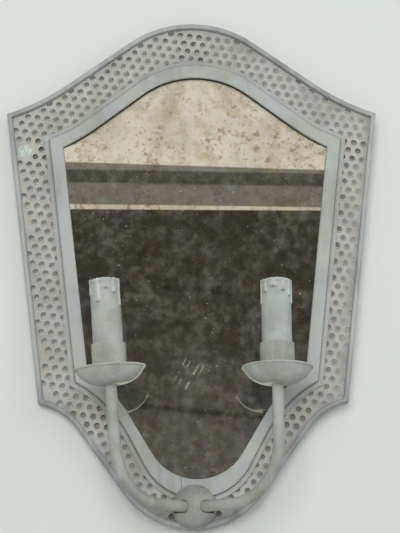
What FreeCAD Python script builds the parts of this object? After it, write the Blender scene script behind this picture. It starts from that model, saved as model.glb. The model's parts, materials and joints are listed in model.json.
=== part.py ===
import FreeCAD, Part
import math
import os

# A wall mirror in an iron frame, with a perforated border and two candle lights.
# Lengths are in millimetres and angles in degrees. X runs to the right, Y runs into the wall and
# Z runs up. The origin lies on the wall, on the axis of the keyhole's round hole. A "depth" is a distance
# in front of the wall, and a "height" is a distance above the frame's lower tip.

Vec = FreeCAD.Vector

# ---- rim: a steel strip on edge, bent to the outline of the whole mirror
CROWN_HEIGHT = 476.5          # top of the round crown
CROWN_RADIUS = 98.0
UPPER_HALF_WIDTH = 172.8      # upper corners
UPPER_HEIGHT = 385.5
SHOULDER_RUN = 30.1           # the hollow shoulder beside each upper corner
SHOULDER_RISE = 10.3
LOWER_HALF_WIDTH = 138.0      # lower corners
LOWER_HEIGHT = 111.5
HIP_RUN = 22.0                # the hollow hip below each lower corner
HIP_DROP = 4.2
TOE_RADIUS = 76.0             # round lower tip
RIM_WIDTH = 4.4
RIM_DEPTH = 10.0
RIM_EDGE_ROUND = 0.8

# ---- moulding: the inner frame, a raised band with a flat flange round it
MOULDING_SHIFT = 3.0          # the inner frame sits this far to the right of the rim's middle
CROWN_BORDER = 43.3           # from the rim to the band's outer edge, at the crown
UPPER_BORDER_ACROSS = 37.1
UPPER_BORDER_DOWN = 25.7
LOWER_BORDER_ACROSS = 29.8
LOWER_BORDER_UP = 18.3
TOE_BORDER = 26.8
BAND_CROWN_RADIUS = 88.0
BAND_SHOULDER_RUN = 17.8
BAND_SHOULDER_RISE = 5.9
BAND_HIP_RUN = 30.8
BAND_HIP_DROP = 16.4
BAND_TOE_RADIUS = 52.0
FLANGE_WIDTH = 4.5
FLANGE_THICKNESS = 1.2
FLANGE_DEPTH = 10.0           # front face of the flange
BAND_RISE = 3.0               # the band stands this far in front of the flange
BAND_EDGE_ROUND = 1.6

# ---- opening of the moulding, in front of the glass
BAND_CROWN_WIDTH = 13.0
BAND_UPPER_ACROSS = 13.3
BAND_UPPER_DOWN = 8.5
BAND_LOWER_ACROSS = 10.7
BAND_LOWER_UP = 9.6
BAND_TOE_WIDTH = 16.5
LIP_CROWN_RADIUS = 80.0
LIP_SHOULDER_RUN = 17.2
LIP_SHOULDER_RISE = 8.7
LIP_HIP_RUN = 22.4
LIP_HIP_DROP = 14.4
LIP_TOE_RADIUS = 46.0
LIP_THICKNESS = 3.0

# ---- glass and what holds it
GLASS_THICKNESS = 3.0
GLASS_OVERLAP = 4.6           # how far the glass reaches behind the lip
GLASS_PLAY = 0.4              # round the glass, inside the skirt
SKIRT_THICKNESS = 1.2
BOARD_THICKNESS = 2.9
BOARD_PLAY = 0.1              # behind the glass
TAB_THICKNESS = 0.8
TAB_WIDTH = 12.0
TAB_REACH = 7.0               # over the board
TAB_HEIGHTS = (70.0, 165.0, 235.0, 305.0)

# ---- perforated sheet between the rim and the moulding
SHEET_THICKNESS = 1.0
SHEET_RIM_DEPTH = 5.5         # front of the sheet at the rim
SHEET_UNDERLAP = 2.6          # how far the sheet reaches behind the band
SHEET_SEAT_GAP = 0.1          # behind the flange
SHEET_RIM_GAP = 0.1
HOLE_DIAMETER = 6.0
HOLE_PITCH = 9.0
HOLE_ROW_SLOPE = 8.0          # the rows fall to the right
HOLE_SHIFT_ACROSS = 7.2       # of one hole from the middle, half-way up
HOLE_SHIFT_UP = -2.4
HOLE_EDGE_MARGIN = 0.4        # least web where a hole stays whole
HOLE_EDGE_CUT = 0.8           # least distance of a broken hole's middle from the sheet's edge
HOLE_UNDER_FLANGE = 2.5       # how far hole centres go in behind the flange
FILLED_PATCH_ACROSS = -156.0  # a spot of weld fills a few holes here
FILLED_PATCH_HEIGHT = 350.0
FILLED_PATCH_RADIUS = 8.5

# ---- straps and hanging plate, welded behind the sheet
STRAP_WIDTH = 18.0
STRAP_THICKNESS = 2.0
STRAP_DEPTH = 3.0             # front face of the straps
WELD_GAP = 0.1                # between welded pieces
UPPER_STRAP_HEIGHT = 354.0
LOWER_STRAP_HEIGHT = 99.0
HANG_HEIGHT = 447.0           # middle of the keyhole's round hole
HANGER_WIDTH = 26.0
HANGER_THICKNESS = 2.0
HANGER_BELOW = 12.0           # from the round hole's middle to the plate's lower edge
KEYHOLE_SLOT_WIDTH = 5.2
KEYHOLE_SLOT_LENGTH = 11.0    # from the round hole's middle to the middle of the slot's end
KEYHOLE_HEAD_DIAMETER = 10.0

# ---- boss at the foot, where the two arms start
BOSS_HEIGHT = 19.5
BOSS_RADIUS = 20.0
BOSS_RISE = 16.0              # the cover's height in front of the rim
BOSS_WALL = 1.0
COVER_CLEARANCE = 0.3
ARM_SLOT_CLEARANCE = 0.6
PLATE_THICKNESS = 1.5
PLATE_RADIUS = 18.0
HUB_HEIGHT = 18.5
HUB_DEPTH = 14.0              # the arms' middle lines meet here
HUB_RADIUS = 7.0
HUB_LEAD_BORE = 6.4           # towards each arm
STEM_DIAMETER = 9.0           # hollow stem through the plate
STEM_BORE = 5.8
STEM_END_DEPTH = 5.2
STEM_NUT_ACROSS_FLATS = 13.0
STEM_NUT_THICKNESS = 3.0
STEM_WASHER_DIAMETER = 14.0
STEM_WASHER_THICKNESS = 1.0
THREAD_GAP = 0.05
SHEET_OPENING_DIAMETER = 17.0 # through the sheet and the moulding's flange, round the nut

# ---- arms
ARM_DIAMETER = 10.0
ARM_BORE = 8.0
CANDLE_ACROSS = 70.7          # top of each arm, from the middle
CANDLE_DEPTH = 77.0
ARM_BEND_RADIUS = 50.0
ARM_TOP_HEIGHT = 115.0        # where the dish sits on the arm
RIGHT_LEAN = 0.0
LEFT_LEAN = 5.3               # the left arm has been pushed outwards

# ---- dish, cup and what clamps them, measured up from the arm's end
DISH_RADIUS = 30.5
DISH_DEPTH = 15.0
DISH_WALL = 1.0
DISH_FLAT_RADIUS = 8.0
DISH_LIP_DIAMETER = 1.8
DISH_SWELL = 4.0              # bulge of the dish's side
CUP_DIAMETER = 29.5
CUP_WALL = 1.2
CUP_FLOOR = 1.2
CUP_FOOT_DIAMETER = 15.2
CUP_HEEL = 3.0                # where the cup's sloping foot meets its side
CUP_TOP = 35.0
NIPPLE_DIAMETER = 7.8
NIPPLE_BORE = 5.4
NIPPLE_BITE = 10.0            # inside the arm
NIPPLE_HOLE_DIAMETER = 8.2
NUT_ACROSS_FLATS = 12.0
NUT_THICKNESS = 3.0

# ---- lampholder, candle-sized
HOLDER_GAP = 0.2              # above the nut
HOLDER_DIAMETER = 22.8        # foot and socket part
HOLDER_WAIST_DIAMETER = 17.0
HOLDER_FOOT_HEIGHT = 9.0
HOLDER_SOCKET_HEIGHT = 29.0
HOLDER_TOP = 85.5
HOLDER_THREAD_LENGTH = 7.0
HOLDER_LEAD_BORE = 6.0
SOCKET_DIAMETER = 14.0        # inside the threaded shell
SHELL_THICKNESS = 0.6
SHELL_GAP = 0.1
SHELL_LENGTH = 21.0
SHELL_RECESS = 1.0            # below the socket's mouth
SHELL_FLOOR_HOLE = 8.0
CONTACT_DIAMETER = 5.0
CONTACT_DEPTH = 2.4           # of its plug in the lead's bore

# ---- candle sleeve
SLEEVE_DIAMETER = 25.8
SLEEVE_WALL = 0.9
SLEEVE_FOOT_GAP = 0.1
SLEEVE_TOP = 90.6
COLLAR_HEIGHT = 3.6
COLLAR_SWELL = 0.5
DRIP_DIAMETER = 3.0
DRIP_STANDOFF = 0.9           # how far a drip stands out from the sleeve
DRIP_COUNT = 6
DRIP_LENGTH = 22.0            # of the longest drip
DRIP_LENGTH_STEP = 7.0
LEFT_DRIP_TURN = 20.0
RIGHT_DRIP_TURN = 50.0

# ---- leads inside the arms, and the splices where they end
LEAD_DIAMETER = 2.6
LEAD_SPACING = 2.8            # between the two leads in the hub's stem
LEAD_HUB_BEND = 6.0
LEAD_TOP = 50.0               # above the arm's end, inside the lampholder
LEAD_REAR_DEPTH = 2.95
LEAD_REAR_BEND = 3.2
LEAD_REAR_SPREAD = 25.0
LEAD_REAR_RUN = 2.0           # from the bend to the splice's mouth
SPLICE_DIAMETER = 3.0
SPLICE_LENGTH = 8.0
SPLICE_GRIP = 3.0             # length of lead inside a splice
SPLICE_BORE_GAP = 0.1

# ---- insulating plate behind the splices, with the cable's way in
INSULATOR_FRONT = 1.2
INSULATOR_THICKNESS = 0.8
INSULATOR_HALF_WIDTH = 26.0
INSULATOR_TOP = 34.0          # height of its upper edge
INLET_HEIGHT = 27.0
INLET_DIAMETER = 7.0
GROMMET_FLANGE = 9.0
GROMMET_LIP = 0.4
GROMMET_BORE = 4.6

# ---- values that follow from the ones above
SHEET_OUTER_INSET = RIM_WIDTH + SHEET_RIM_GAP
SHEET_INNER_DEPTH = FLANGE_DEPTH - FLANGE_THICKNESS - SHEET_SEAT_GAP
BAND_FRONT = FLANGE_DEPTH + BAND_RISE
GLASS_FRONT = BAND_FRONT - LIP_THICKNESS
GLASS_REAR = GLASS_FRONT - GLASS_THICKNESS
BOARD_FRONT = GLASS_REAR - BOARD_PLAY
BOARD_REAR = BOARD_FRONT - BOARD_THICKNESS
SKIRT_INNER = GLASS_OVERLAP + GLASS_PLAY
SKIRT_OUTER = SKIRT_INNER + SKIRT_THICKNESS
PLATE_FRONT = RIM_DEPTH + PLATE_THICKNESS
ARM_RADIUS = ARM_DIAMETER / 2.0
ARM_ANGLE = math.degrees(math.atan2(CANDLE_DEPTH - HUB_DEPTH, CANDLE_ACROSS))
ARM_REACH = math.hypot(CANDLE_DEPTH - HUB_DEPTH, CANDLE_ACROSS)
CUP_REST = DISH_WALL
NUT_REST = CUP_REST + CUP_FLOOR
HOLDER_REST = NUT_REST + NUT_THICKNESS + HOLDER_GAP
SLEEVE_REST = CUP_HEEL + CUP_FLOOR + SLEEVE_FOOT_GAP
SOCKET_FLOOR = HOLDER_TOP - SHELL_RECESS - SHELL_LENGTH
SHELL_RADIUS = SOCKET_DIAMETER / 2.0 + SHELL_THICKNESS
BOSS_SPHERE_RADIUS = (BOSS_RADIUS ** 2 + BOSS_RISE ** 2) / (2.0 * BOSS_RISE)
BOSS_SPHERE_DEPTH = RIM_DEPTH + BOSS_RISE - BOSS_SPHERE_RADIUS
ROOM = 2.0 * CROWN_HEIGHT     # larger than the whole mirror

TO_WALL = Vec(0.0, 1.0, 0.0)
TO_ROOM = Vec(0.0, -1.0, 0.0)
UP = Vec(0.0, 0.0, 1.0)


def point(across, depth, height):
    """A point given across from the middle, in front of the wall and above the lower tip."""
    return Vec(across, -depth, height - HANG_HEIGHT)


class Half:
    """One end of an outline: a round top or toe, a straight flank and a hollow knee."""

    def __init__(self, corner, knee, tip, radius, up):
        # Worked out as if the end pointed up, then turned over by "up" where it points down.
        self.up = up
        self.radius = radius
        corner_x, corner_z = corner[0], up * corner[1]
        run, rise = knee
        self.centre = up * tip - radius
        knee_x, knee_z = corner_x - run, corner_z + rise
        reach = math.hypot(knee_x, knee_z - self.centre)
        self.angle = math.atan2(knee_x, knee_z - self.centre) - math.acos(radius / reach)
        length = math.hypot(run, rise)
        end_angle = math.atan2(rise, run)
        self.knee_radius = length / math.tan((self.angle - end_angle) / 2.0)
        self.knee_x = corner_x + self.knee_radius * math.sin(end_angle)
        self.knee_z = corner_z + self.knee_radius * math.cos(end_angle)
        self.mid_angle = (self.angle + end_angle) / 2.0

    def tip(self, inset):
        return (0.0, self.up * (self.centre + self.radius - inset))

    def flank_start(self, inset):
        radius = self.radius - inset
        return (radius * math.sin(self.angle), self.up * (self.centre + radius * math.cos(self.angle)))

    def knee_point(self, inset, angle):
        radius = self.knee_radius + inset
        return (self.knee_x - radius * math.sin(angle), self.up * (self.knee_z - radius * math.cos(angle)))

    def flank_end(self, inset):
        return self.knee_point(inset, self.angle)

    def corner(self, inset, side_start, side_run):
        """Where the knee's arc meets the straight side, a line through side_start along side_run."""
        to_x = side_start[0] - self.knee_x
        to_z = side_start[1] - self.up * self.knee_z
        along = to_x * side_run[0] + to_z * side_run[1]
        radius = self.knee_radius + inset
        gap = to_x * to_x + to_z * to_z - radius * radius
        root = math.sqrt(along * along - gap)
        step = min((-along - root, -along + root), key=abs)
        return (side_start[0] + step * side_run[0], side_start[1] + step * side_run[1])


class Outline:
    """The closed outline of the mirror's shape, which can be drawn at any inset."""

    def __init__(self, shift, crown, crown_radius, upper, shoulder, lower, hip, toe, toe_radius):
        self.shift = shift
        self.upper = upper
        self.lower = lower
        self.top = Half(upper, shoulder, crown, crown_radius, 1.0)
        self.foot = Half(lower, hip, toe, toe_radius, -1.0)

    def right_points(self, inset):
        """The right half's points, from the crown's end down to the toe's start."""
        run_x = self.lower[0] - self.upper[0]
        run_z = self.lower[1] - self.upper[1]
        length = math.hypot(run_x, run_z)
        side = (run_x / length, run_z / length)
        start = (self.upper[0] + inset * side[1], self.upper[1] - inset * side[0])
        end = (self.lower[0] + inset * side[1], self.lower[1] - inset * side[0])
        upper = self.top.corner(inset, start, side)
        lower = self.foot.corner(inset, end, side)
        return [
            self.top.flank_start(inset), self.top.flank_end(inset),
            self.top.knee_point(inset, self.top.mid_angle), upper, lower,
            self.foot.knee_point(inset, self.foot.mid_angle),
            self.foot.flank_end(inset), self.foot.flank_start(inset),
        ]

    def wire(self, inset, depth):
        """The outline as a wire of lines and arcs at a depth, drawn inwards by inset."""
        right = [point(self.shift + x, depth, z) for x, z in self.right_points(inset)]
        left = [point(self.shift - x, depth, z) for x, z in self.right_points(inset)]
        crown = point(self.shift, depth, self.top.tip(inset)[1])
        toe = point(self.shift, depth, self.foot.tip(inset)[1])
        arc = Part.Arc
        line = Part.LineSegment
        edges = [
            arc(left[0], crown, right[0]), line(right[0], right[1]), arc(right[1], right[2], right[3]),
            line(right[3], right[4]), arc(right[4], right[5], right[6]), line(right[6], right[7]),
            arc(right[7], toe, left[7]), line(left[7], left[6]), arc(left[6], left[5], left[4]),
            line(left[4], left[3]), arc(left[3], left[2], left[1]), line(left[1], left[0]),
        ]
        return Part.Wire([edge.toShape() for edge in edges])

    def prism(self, inset, front, rear):
        """A solid plate of the outline between two depths."""
        face = Part.Face(self.wire(inset, front))
        return face.extrude(Vec(0.0, front - rear, 0.0))


RIM = Outline(
    0.0, CROWN_HEIGHT, CROWN_RADIUS, (UPPER_HALF_WIDTH, UPPER_HEIGHT), (SHOULDER_RUN, SHOULDER_RISE),
    (LOWER_HALF_WIDTH, LOWER_HEIGHT), (HIP_RUN, HIP_DROP), 0.0, TOE_RADIUS)

BAND_UPPER = (UPPER_HALF_WIDTH - UPPER_BORDER_ACROSS, UPPER_HEIGHT - UPPER_BORDER_DOWN)
BAND_LOWER = (LOWER_HALF_WIDTH - LOWER_BORDER_ACROSS, LOWER_HEIGHT + LOWER_BORDER_UP)
BAND_CROWN = CROWN_HEIGHT - CROWN_BORDER
BAND = Outline(
    MOULDING_SHIFT, BAND_CROWN, BAND_CROWN_RADIUS, BAND_UPPER, (BAND_SHOULDER_RUN, BAND_SHOULDER_RISE),
    BAND_LOWER, (BAND_HIP_RUN, BAND_HIP_DROP), TOE_BORDER, BAND_TOE_RADIUS)

LIP = Outline(
    MOULDING_SHIFT, BAND_CROWN - BAND_CROWN_WIDTH, LIP_CROWN_RADIUS,
    (BAND_UPPER[0] - BAND_UPPER_ACROSS, BAND_UPPER[1] - BAND_UPPER_DOWN),
    (LIP_SHOULDER_RUN, LIP_SHOULDER_RISE),
    (BAND_LOWER[0] - BAND_LOWER_ACROSS, BAND_LOWER[1] + BAND_LOWER_UP),
    (LIP_HIP_RUN, LIP_HIP_DROP), TOE_BORDER + BAND_TOE_WIDTH, LIP_TOE_RADIUS)


def slab(low, high, front, rear, half_width=ROOM, middle=0.0):
    """A box across the mirror between two heights and two depths."""
    corner = point(middle - half_width, front, low)
    return Part.makeBox(2.0 * half_width, front - rear, high - low, corner)


def disc(diameter, front, rear, height, across=0.0):
    """A round plate or hole along the depth, between two depths."""
    return Part.makeCylinder(diameter / 2.0, front - rear, point(across, front, height), TO_WALL)


def turned(*corners):
    """A solid turned about the upright axis from (radius, height) corners."""
    points = [Vec(radius, 0.0, height) for radius, height in corners]
    face = Part.Face(Part.makePolygon(points + points[:1]))
    return face.revolve(Vec(0.0, 0.0, 0.0), UP, 360.0)


def tube(outer_diameter, inner_diameter, low, high):
    """An upright tube on the local axis."""
    outer = Part.makeCylinder(outer_diameter / 2.0, high - low, Vec(0.0, 0.0, low))
    inner = Part.makeCylinder(inner_diameter / 2.0, high - low, Vec(0.0, 0.0, low))
    return outer.cut(inner)


def hex_prism(across_flats, length, base, axis):
    """A hexagonal prism standing on a base point along an axis."""
    radius = across_flats / math.sqrt(3.0)
    corners = [Vec(radius * math.cos(math.radians(a)), radius * math.sin(math.radians(a)), 0.0)
               for a in range(0, 361, 60)]
    prism = Part.Face(Part.makePolygon(corners)).extrude(Vec(0.0, 0.0, length))
    prism.Placement = FreeCAD.Placement(base, FreeCAD.Rotation(UP, axis))
    return prism


def front_edges(solid, depth, outline, inset):
    """The edges of a solid that lie at a depth on an outline."""
    border = outline.wire(inset, depth)
    edges = []
    for edge in solid.Edges:
        ends = [edge.valueAt(p) for p in (edge.FirstParameter, edge.LastParameter)]
        middle = edge.valueAt((edge.FirstParameter + edge.LastParameter) / 2.0)
        if all(border.distToShape(Part.Vertex(p))[0] < 0.001 for p in ends + [middle]):
            edges.append(edge)
    return edges


def outer_rim():
    ring = RIM.prism(0.0, RIM_DEPTH, 0.0).cut(RIM.prism(RIM_WIDTH, RIM_DEPTH, 0.0))
    edges = front_edges(ring, RIM_DEPTH, RIM, 0.0) + front_edges(ring, RIM_DEPTH, RIM, RIM_WIDTH)
    return ring.makeFillet(RIM_EDGE_ROUND, edges)


def sheet_blank():
    """The sheet without its holes: it rises from the rim to the moulding."""
    rim_wire = RIM.wire(SHEET_OUTER_INSET, SHEET_RIM_DEPTH)
    band_wire = BAND.wire(SHEET_UNDERLAP, SHEET_INNER_DEPTH)
    rise = Part.makeLoft([rim_wire, band_wire], True, True)
    hollow = rise.translated(Vec(0.0, SHEET_THICKNESS, 0.0))
    edge = RIM.prism(SHEET_OUTER_INSET, SHEET_RIM_DEPTH, SHEET_RIM_DEPTH - SHEET_THICKNESS)
    middle = BAND.prism(SHEET_UNDERLAP, RIM_DEPTH, 0.0)
    return rise.fuse(edge).cut(hollow).cut(middle)


def hole_places():
    """The hole centres: a slanting triangular pattern kept between the rim and the moulding."""
    hole_radius = HOLE_DIAMETER / 2.0
    field = Part.Face(RIM.wire(SHEET_OUTER_INSET + HOLE_EDGE_CUT, 0.0))
    whole = Part.Face(RIM.wire(SHEET_OUTER_INSET + hole_radius + HOLE_EDGE_MARGIN, 0.0))
    broken = Part.Face(RIM.wire(SHEET_OUTER_INSET + hole_radius - HOLE_EDGE_MARGIN, 0.0))
    inner = Part.Face(BAND.wire(HOLE_UNDER_FLANGE - FLANGE_WIDTH, 0.0))
    patch = point(FILLED_PATCH_ACROSS, 0.0, FILLED_PATCH_HEIGHT)
    hub = point(0.0, 0.0, HUB_HEIGHT)
    hub_keep = (SHEET_OPENING_DIAMETER + HOLE_DIAMETER) / 2.0 + HOLE_EDGE_MARGIN
    slope = math.radians(HOLE_ROW_SLOPE)
    along = Vec(math.cos(slope), 0.0, -math.sin(slope)) * HOLE_PITCH
    down = Vec(math.cos(slope + math.pi / 3.0), 0.0, -math.sin(slope + math.pi / 3.0)) * HOLE_PITCH
    start = point(HOLE_SHIFT_ACROSS, 0.0, CROWN_HEIGHT / 2.0 + HOLE_SHIFT_UP)
    reach = int(CROWN_HEIGHT / HOLE_PITCH)
    places = []
    for row in range(-reach, reach + 1):
        for step in range(-reach, reach + 1):
            place = start + along * step + down * row
            inside = whole.isInside(place, 0.001, True)
            at_edge = field.isInside(place, 0.001, True) and not broken.isInside(place, 0.001, True)
            if not (inside or at_edge) or inner.isInside(place, 0.001, True):
                continue
            if (place - patch).Length < FILLED_PATCH_RADIUS or (place - hub).Length < hub_keep:
                continue
            places.append(place)
    return places


def perforated_panel():
    blank = sheet_blank()
    radius = HOLE_DIAMETER / 2.0
    cutters = [Part.makeCylinder(radius, RIM_DEPTH, place, TO_ROOM) for place in hole_places()]
    cutters.append(disc(SHEET_OPENING_DIAMETER, RIM_DEPTH, 0.0, HUB_HEIGHT))
    return blank.cut(Part.makeCompound(cutters))


def mirror_moulding():
    flange_rear = FLANGE_DEPTH - FLANGE_THICKNESS
    band = BAND.prism(0.0, BAND_FRONT, FLANGE_DEPTH)
    flange = BAND.prism(-FLANGE_WIDTH, FLANGE_DEPTH, flange_rear)
    skirt = LIP.prism(-SKIRT_OUTER, FLANGE_DEPTH, BOARD_REAR)
    whole = band.fuse([flange, skirt]).removeSplitter()
    whole = whole.cut(LIP.prism(-SKIRT_INNER, GLASS_FRONT, 0.0)).cut(LIP.prism(0.0, BAND_FRONT, 0.0))
    edges = front_edges(whole, BAND_FRONT, BAND, 0.0) + front_edges(whole, BAND_FRONT, LIP, 0.0)
    stem_opening = disc(SHEET_OPENING_DIAMETER, FLANGE_DEPTH, 0.0, HUB_HEIGHT)
    return whole.makeFillet(BAND_EDGE_ROUND, edges).cut(stem_opening)


def mirror_glass():
    return LIP.prism(-GLASS_OVERLAP, GLASS_FRONT, GLASS_REAR)


def backing_board():
    return LIP.prism(-GLASS_OVERLAP, BOARD_FRONT, BOARD_REAR)


def retaining_tabs():
    front, rear = BOARD_REAR, BOARD_REAR - TAB_THICKNESS
    band = LIP.prism(-SKIRT_OUTER, front, rear).cut(LIP.prism(TAB_REACH - GLASS_OVERLAP, front, rear))
    half = TAB_WIDTH / 2.0
    return Part.makeCompound([band.common(slab(h - half, h + half, front, rear)) for h in TAB_HEIGHTS])


def strap(height):
    half = STRAP_WIDTH / 2.0
    rear = STRAP_DEPTH - STRAP_THICKNESS
    room = RIM.prism(RIM_WIDTH + WELD_GAP, STRAP_DEPTH, rear)
    return room.common(slab(height - half, height + half, STRAP_DEPTH, rear))


def keyhole_plate():
    room = RIM.prism(RIM_WIDTH + WELD_GAP, HANGER_THICKNESS, 0.0)
    low = HANG_HEIGHT - HANGER_BELOW
    plate = room.common(slab(low, CROWN_HEIGHT, HANGER_THICKNESS, 0.0, HANGER_WIDTH / 2.0))
    slot_top = HANG_HEIGHT + KEYHOLE_SLOT_LENGTH
    slot = slab(HANG_HEIGHT, slot_top, HANGER_THICKNESS, 0.0, KEYHOLE_SLOT_WIDTH / 2.0)
    slot_end = disc(KEYHOLE_SLOT_WIDTH, HANGER_THICKNESS, 0.0, slot_top)
    return plate.cut([disc(KEYHOLE_HEAD_DIAMETER, HANGER_THICKNESS, 0.0, HANG_HEIGHT), slot, slot_end])


def boss_plate():
    plate = disc(2.0 * PLATE_RADIUS, PLATE_FRONT, RIM_DEPTH, BOSS_HEIGHT)
    bore = disc(STEM_DIAMETER + 2.0 * THREAD_GAP, PLATE_FRONT, RIM_DEPTH, HUB_HEIGHT)
    return plate.cut([BAND.prism(-COVER_CLEARANCE, PLATE_FRONT, RIM_DEPTH), bore])


def arm_direction(side):
    """The level direction in which an arm leaves the hub."""
    angle = math.radians(ARM_ANGLE)
    return Vec(side * math.cos(angle), -math.sin(angle), 0.0)


def hub_centre():
    return point(0.0, HUB_DEPTH, HUB_HEIGHT)


def arm_hub():
    centre = hub_centre()
    ball = Part.makeSphere(HUB_RADIUS, centre)
    body = ball.fuse(disc(2.0 * HUB_RADIUS, HUB_DEPTH, PLATE_FRONT, HUB_HEIGHT))
    body = body.cut(slab(0.0, CROWN_HEIGHT, PLATE_FRONT, 0.0))
    stem = disc(STEM_DIAMETER, HUB_DEPTH, STEM_END_DEPTH, HUB_HEIGHT)
    bores = [disc(STEM_BORE, HUB_DEPTH, 0.0, HUB_HEIGHT)]
    for side in (-1.0, 1.0):
        bores.append(Part.makeCylinder(HUB_LEAD_BORE / 2.0, ARM_REACH, centre, arm_direction(side)))
    bores.append(Part.makeSphere(HUB_LEAD_BORE / 2.0, centre))
    return body.fuse(stem).removeSplitter().cut(bores)


def stem_washer():
    rear = RIM_DEPTH - STEM_WASHER_THICKNESS
    bore = disc(STEM_DIAMETER + 2.0 * THREAD_GAP, RIM_DEPTH, rear, HUB_HEIGHT)
    return disc(STEM_WASHER_DIAMETER, RIM_DEPTH, rear, HUB_HEIGHT).cut(bore)


def stem_nut():
    front = RIM_DEPTH - STEM_WASHER_THICKNESS
    rear = front - STEM_NUT_THICKNESS
    nut = hex_prism(STEM_NUT_ACROSS_FLATS, STEM_NUT_THICKNESS, point(0.0, front, HUB_HEIGHT), TO_WALL)
    return nut.cut(disc(STEM_DIAMETER + 2.0 * THREAD_GAP, front, rear, HUB_HEIGHT))


def arm_slot(side):
    """The way through the cover for one arm, open towards the wall."""
    half = ARM_RADIUS + ARM_SLOT_CLEARANCE
    centre = hub_centre()
    away = arm_direction(side) * ARM_REACH
    passage = Part.makeCylinder(half, ARM_REACH, centre, arm_direction(side))
    low = centre - UP * half
    corners = [low, low + away, low + Vec(away.x, HUB_DEPTH, 0.0), low + Vec(0.0, HUB_DEPTH, 0.0), low]
    return passage.fuse(Part.Face(Part.makePolygon(corners)).extrude(UP * 2.0 * half))


def boss_cover():
    centre = point(0.0, BOSS_SPHERE_DEPTH, BOSS_HEIGHT)
    shell = Part.makeSphere(BOSS_SPHERE_RADIUS, centre).cut(
        Part.makeSphere(BOSS_SPHERE_RADIUS - BOSS_WALL, centre))
    behind = slab(-CROWN_HEIGHT, CROWN_HEIGHT, RIM_DEPTH, -CROWN_HEIGHT)
    band = BAND.prism(-COVER_CLEARANCE, BAND_FRONT + COVER_CLEARANCE, 0.0)
    return shell.cut([behind, band, arm_slot(-1.0), arm_slot(1.0)])


class ArmPath:
    """The middle line of an arm: level out of the hub, round a bend and up to the dish."""

    def __init__(self, side, lean):
        tilt = math.radians(lean)
        self.side = side
        self.lean = lean
        self.outward = arm_direction(side)
        rise = ARM_TOP_HEIGHT - HUB_HEIGHT
        post = (rise - ARM_BEND_RADIUS * (1.0 - math.sin(tilt))) / math.cos(tilt)
        level = ARM_REACH - ARM_BEND_RADIUS * math.cos(tilt) - post * math.sin(tilt)
        self.bend_start = self.at(level, 0.0)
        half_turn = (math.pi / 2.0 - tilt) / 2.0
        self.bend_middle = self.at(
            level + ARM_BEND_RADIUS * math.sin(half_turn), ARM_BEND_RADIUS * (1.0 - math.cos(half_turn)))
        self.bend_end = self.at(
            level + ARM_BEND_RADIUS * math.cos(tilt), ARM_BEND_RADIUS * (1.0 - math.sin(tilt)))
        self.top = self.at(ARM_REACH, rise)

    def at(self, out, up):
        return hub_centre() + self.outward * out + UP * up

    def upward(self):
        direction = self.top - self.bend_end
        return direction.normalize()

    def placed(self, shape):
        """A piece drawn upright at the origin, moved onto the top of the arm."""
        turn = FreeCAD.Rotation(UP, self.upward())
        moved = shape.copy()
        moved.Placement = FreeCAD.Placement(self.top, turn)
        return moved

    def bend_edges(self):
        return [Part.Arc(self.bend_start, self.bend_middle, self.bend_end).toShape()]


def pipe(diameter, edges):
    """A round bar along joined straight and curved edges."""
    wire = Part.Wire(edges)
    start = edges[0].valueAt(edges[0].FirstParameter)
    direction = edges[0].tangentAt(edges[0].FirstParameter)
    profile = Part.Wire(Part.makeCircle(diameter / 2.0, start, direction))
    return wire.makePipeShell([profile], True, False)


def arm(path):
    line = Part.LineSegment
    edges = [line(hub_centre(), path.bend_start).toShape()]
    edges += path.bend_edges()
    edges.append(line(path.bend_end, path.top).toShape())
    bar = pipe(ARM_DIAMETER, edges).cut(pipe(ARM_BORE, edges))
    return bar.cut(Part.makeSphere(HUB_RADIUS + WELD_GAP, hub_centre()))


def arm_nipple():
    return tube(NIPPLE_DIAMETER, NIPPLE_BORE, -NIPPLE_BITE, HOLDER_REST + HOLDER_THREAD_LENGTH)


def drip_dish():
    """A deep round dish with a beaded lip."""
    lip = DISH_LIP_DIAMETER / 2.0
    hole = NIPPLE_HOLE_DIAMETER / 2.0
    low = Vec(DISH_FLAT_RADIUS, 0.0, 0.0)
    high = Vec(DISH_RADIUS - lip, 0.0, DISH_DEPTH - lip)
    chord = (high - low).normalize()
    out = Vec(chord.z, 0.0, -chord.x)
    middle = (low + high) * 0.5 + out * DISH_SWELL
    inner_low, inner_middle = low + UP * DISH_WALL, middle - out * DISH_WALL
    inner_high = high - Vec(DISH_WALL, 0.0, 0.0)
    line = Part.LineSegment
    edges = [
        line(Vec(hole, 0.0, 0.0), low), Part.Arc(low, middle, high), line(high, inner_high),
        Part.Arc(inner_high, inner_middle, inner_low), line(inner_low, Vec(hole, 0.0, DISH_WALL)),
        line(Vec(hole, 0.0, DISH_WALL), Vec(hole, 0.0, 0.0)),
    ]
    face = Part.Face(Part.Wire([edge.toShape() for edge in edges]))
    bowl = face.revolve(Vec(0.0, 0.0, 0.0), UP, 360.0)
    bead = Part.makeTorus(DISH_RADIUS - lip, lip, Vec(0.0, 0.0, DISH_DEPTH - lip), UP)
    return bowl.fuse(bead)


def candle_cup():
    outer = CUP_DIAMETER / 2.0
    inner = outer - CUP_WALL
    hole = NIPPLE_HOLE_DIAMETER / 2.0
    foot = CUP_FOOT_DIAMETER / 2.0
    return turned(
        (hole, CUP_REST), (foot, CUP_REST), (outer, CUP_HEEL), (outer, CUP_TOP), (inner, CUP_TOP),
        (inner, CUP_HEEL + CUP_FLOOR), (foot, NUT_REST), (hole, NUT_REST))


def cup_nut():
    nut = hex_prism(NUT_ACROSS_FLATS, NUT_THICKNESS, UP * NUT_REST, UP)
    bore = NIPPLE_DIAMETER / 2.0 + THREAD_GAP
    return nut.cut(Part.makeCylinder(bore, NUT_THICKNESS, UP * NUT_REST))


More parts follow.
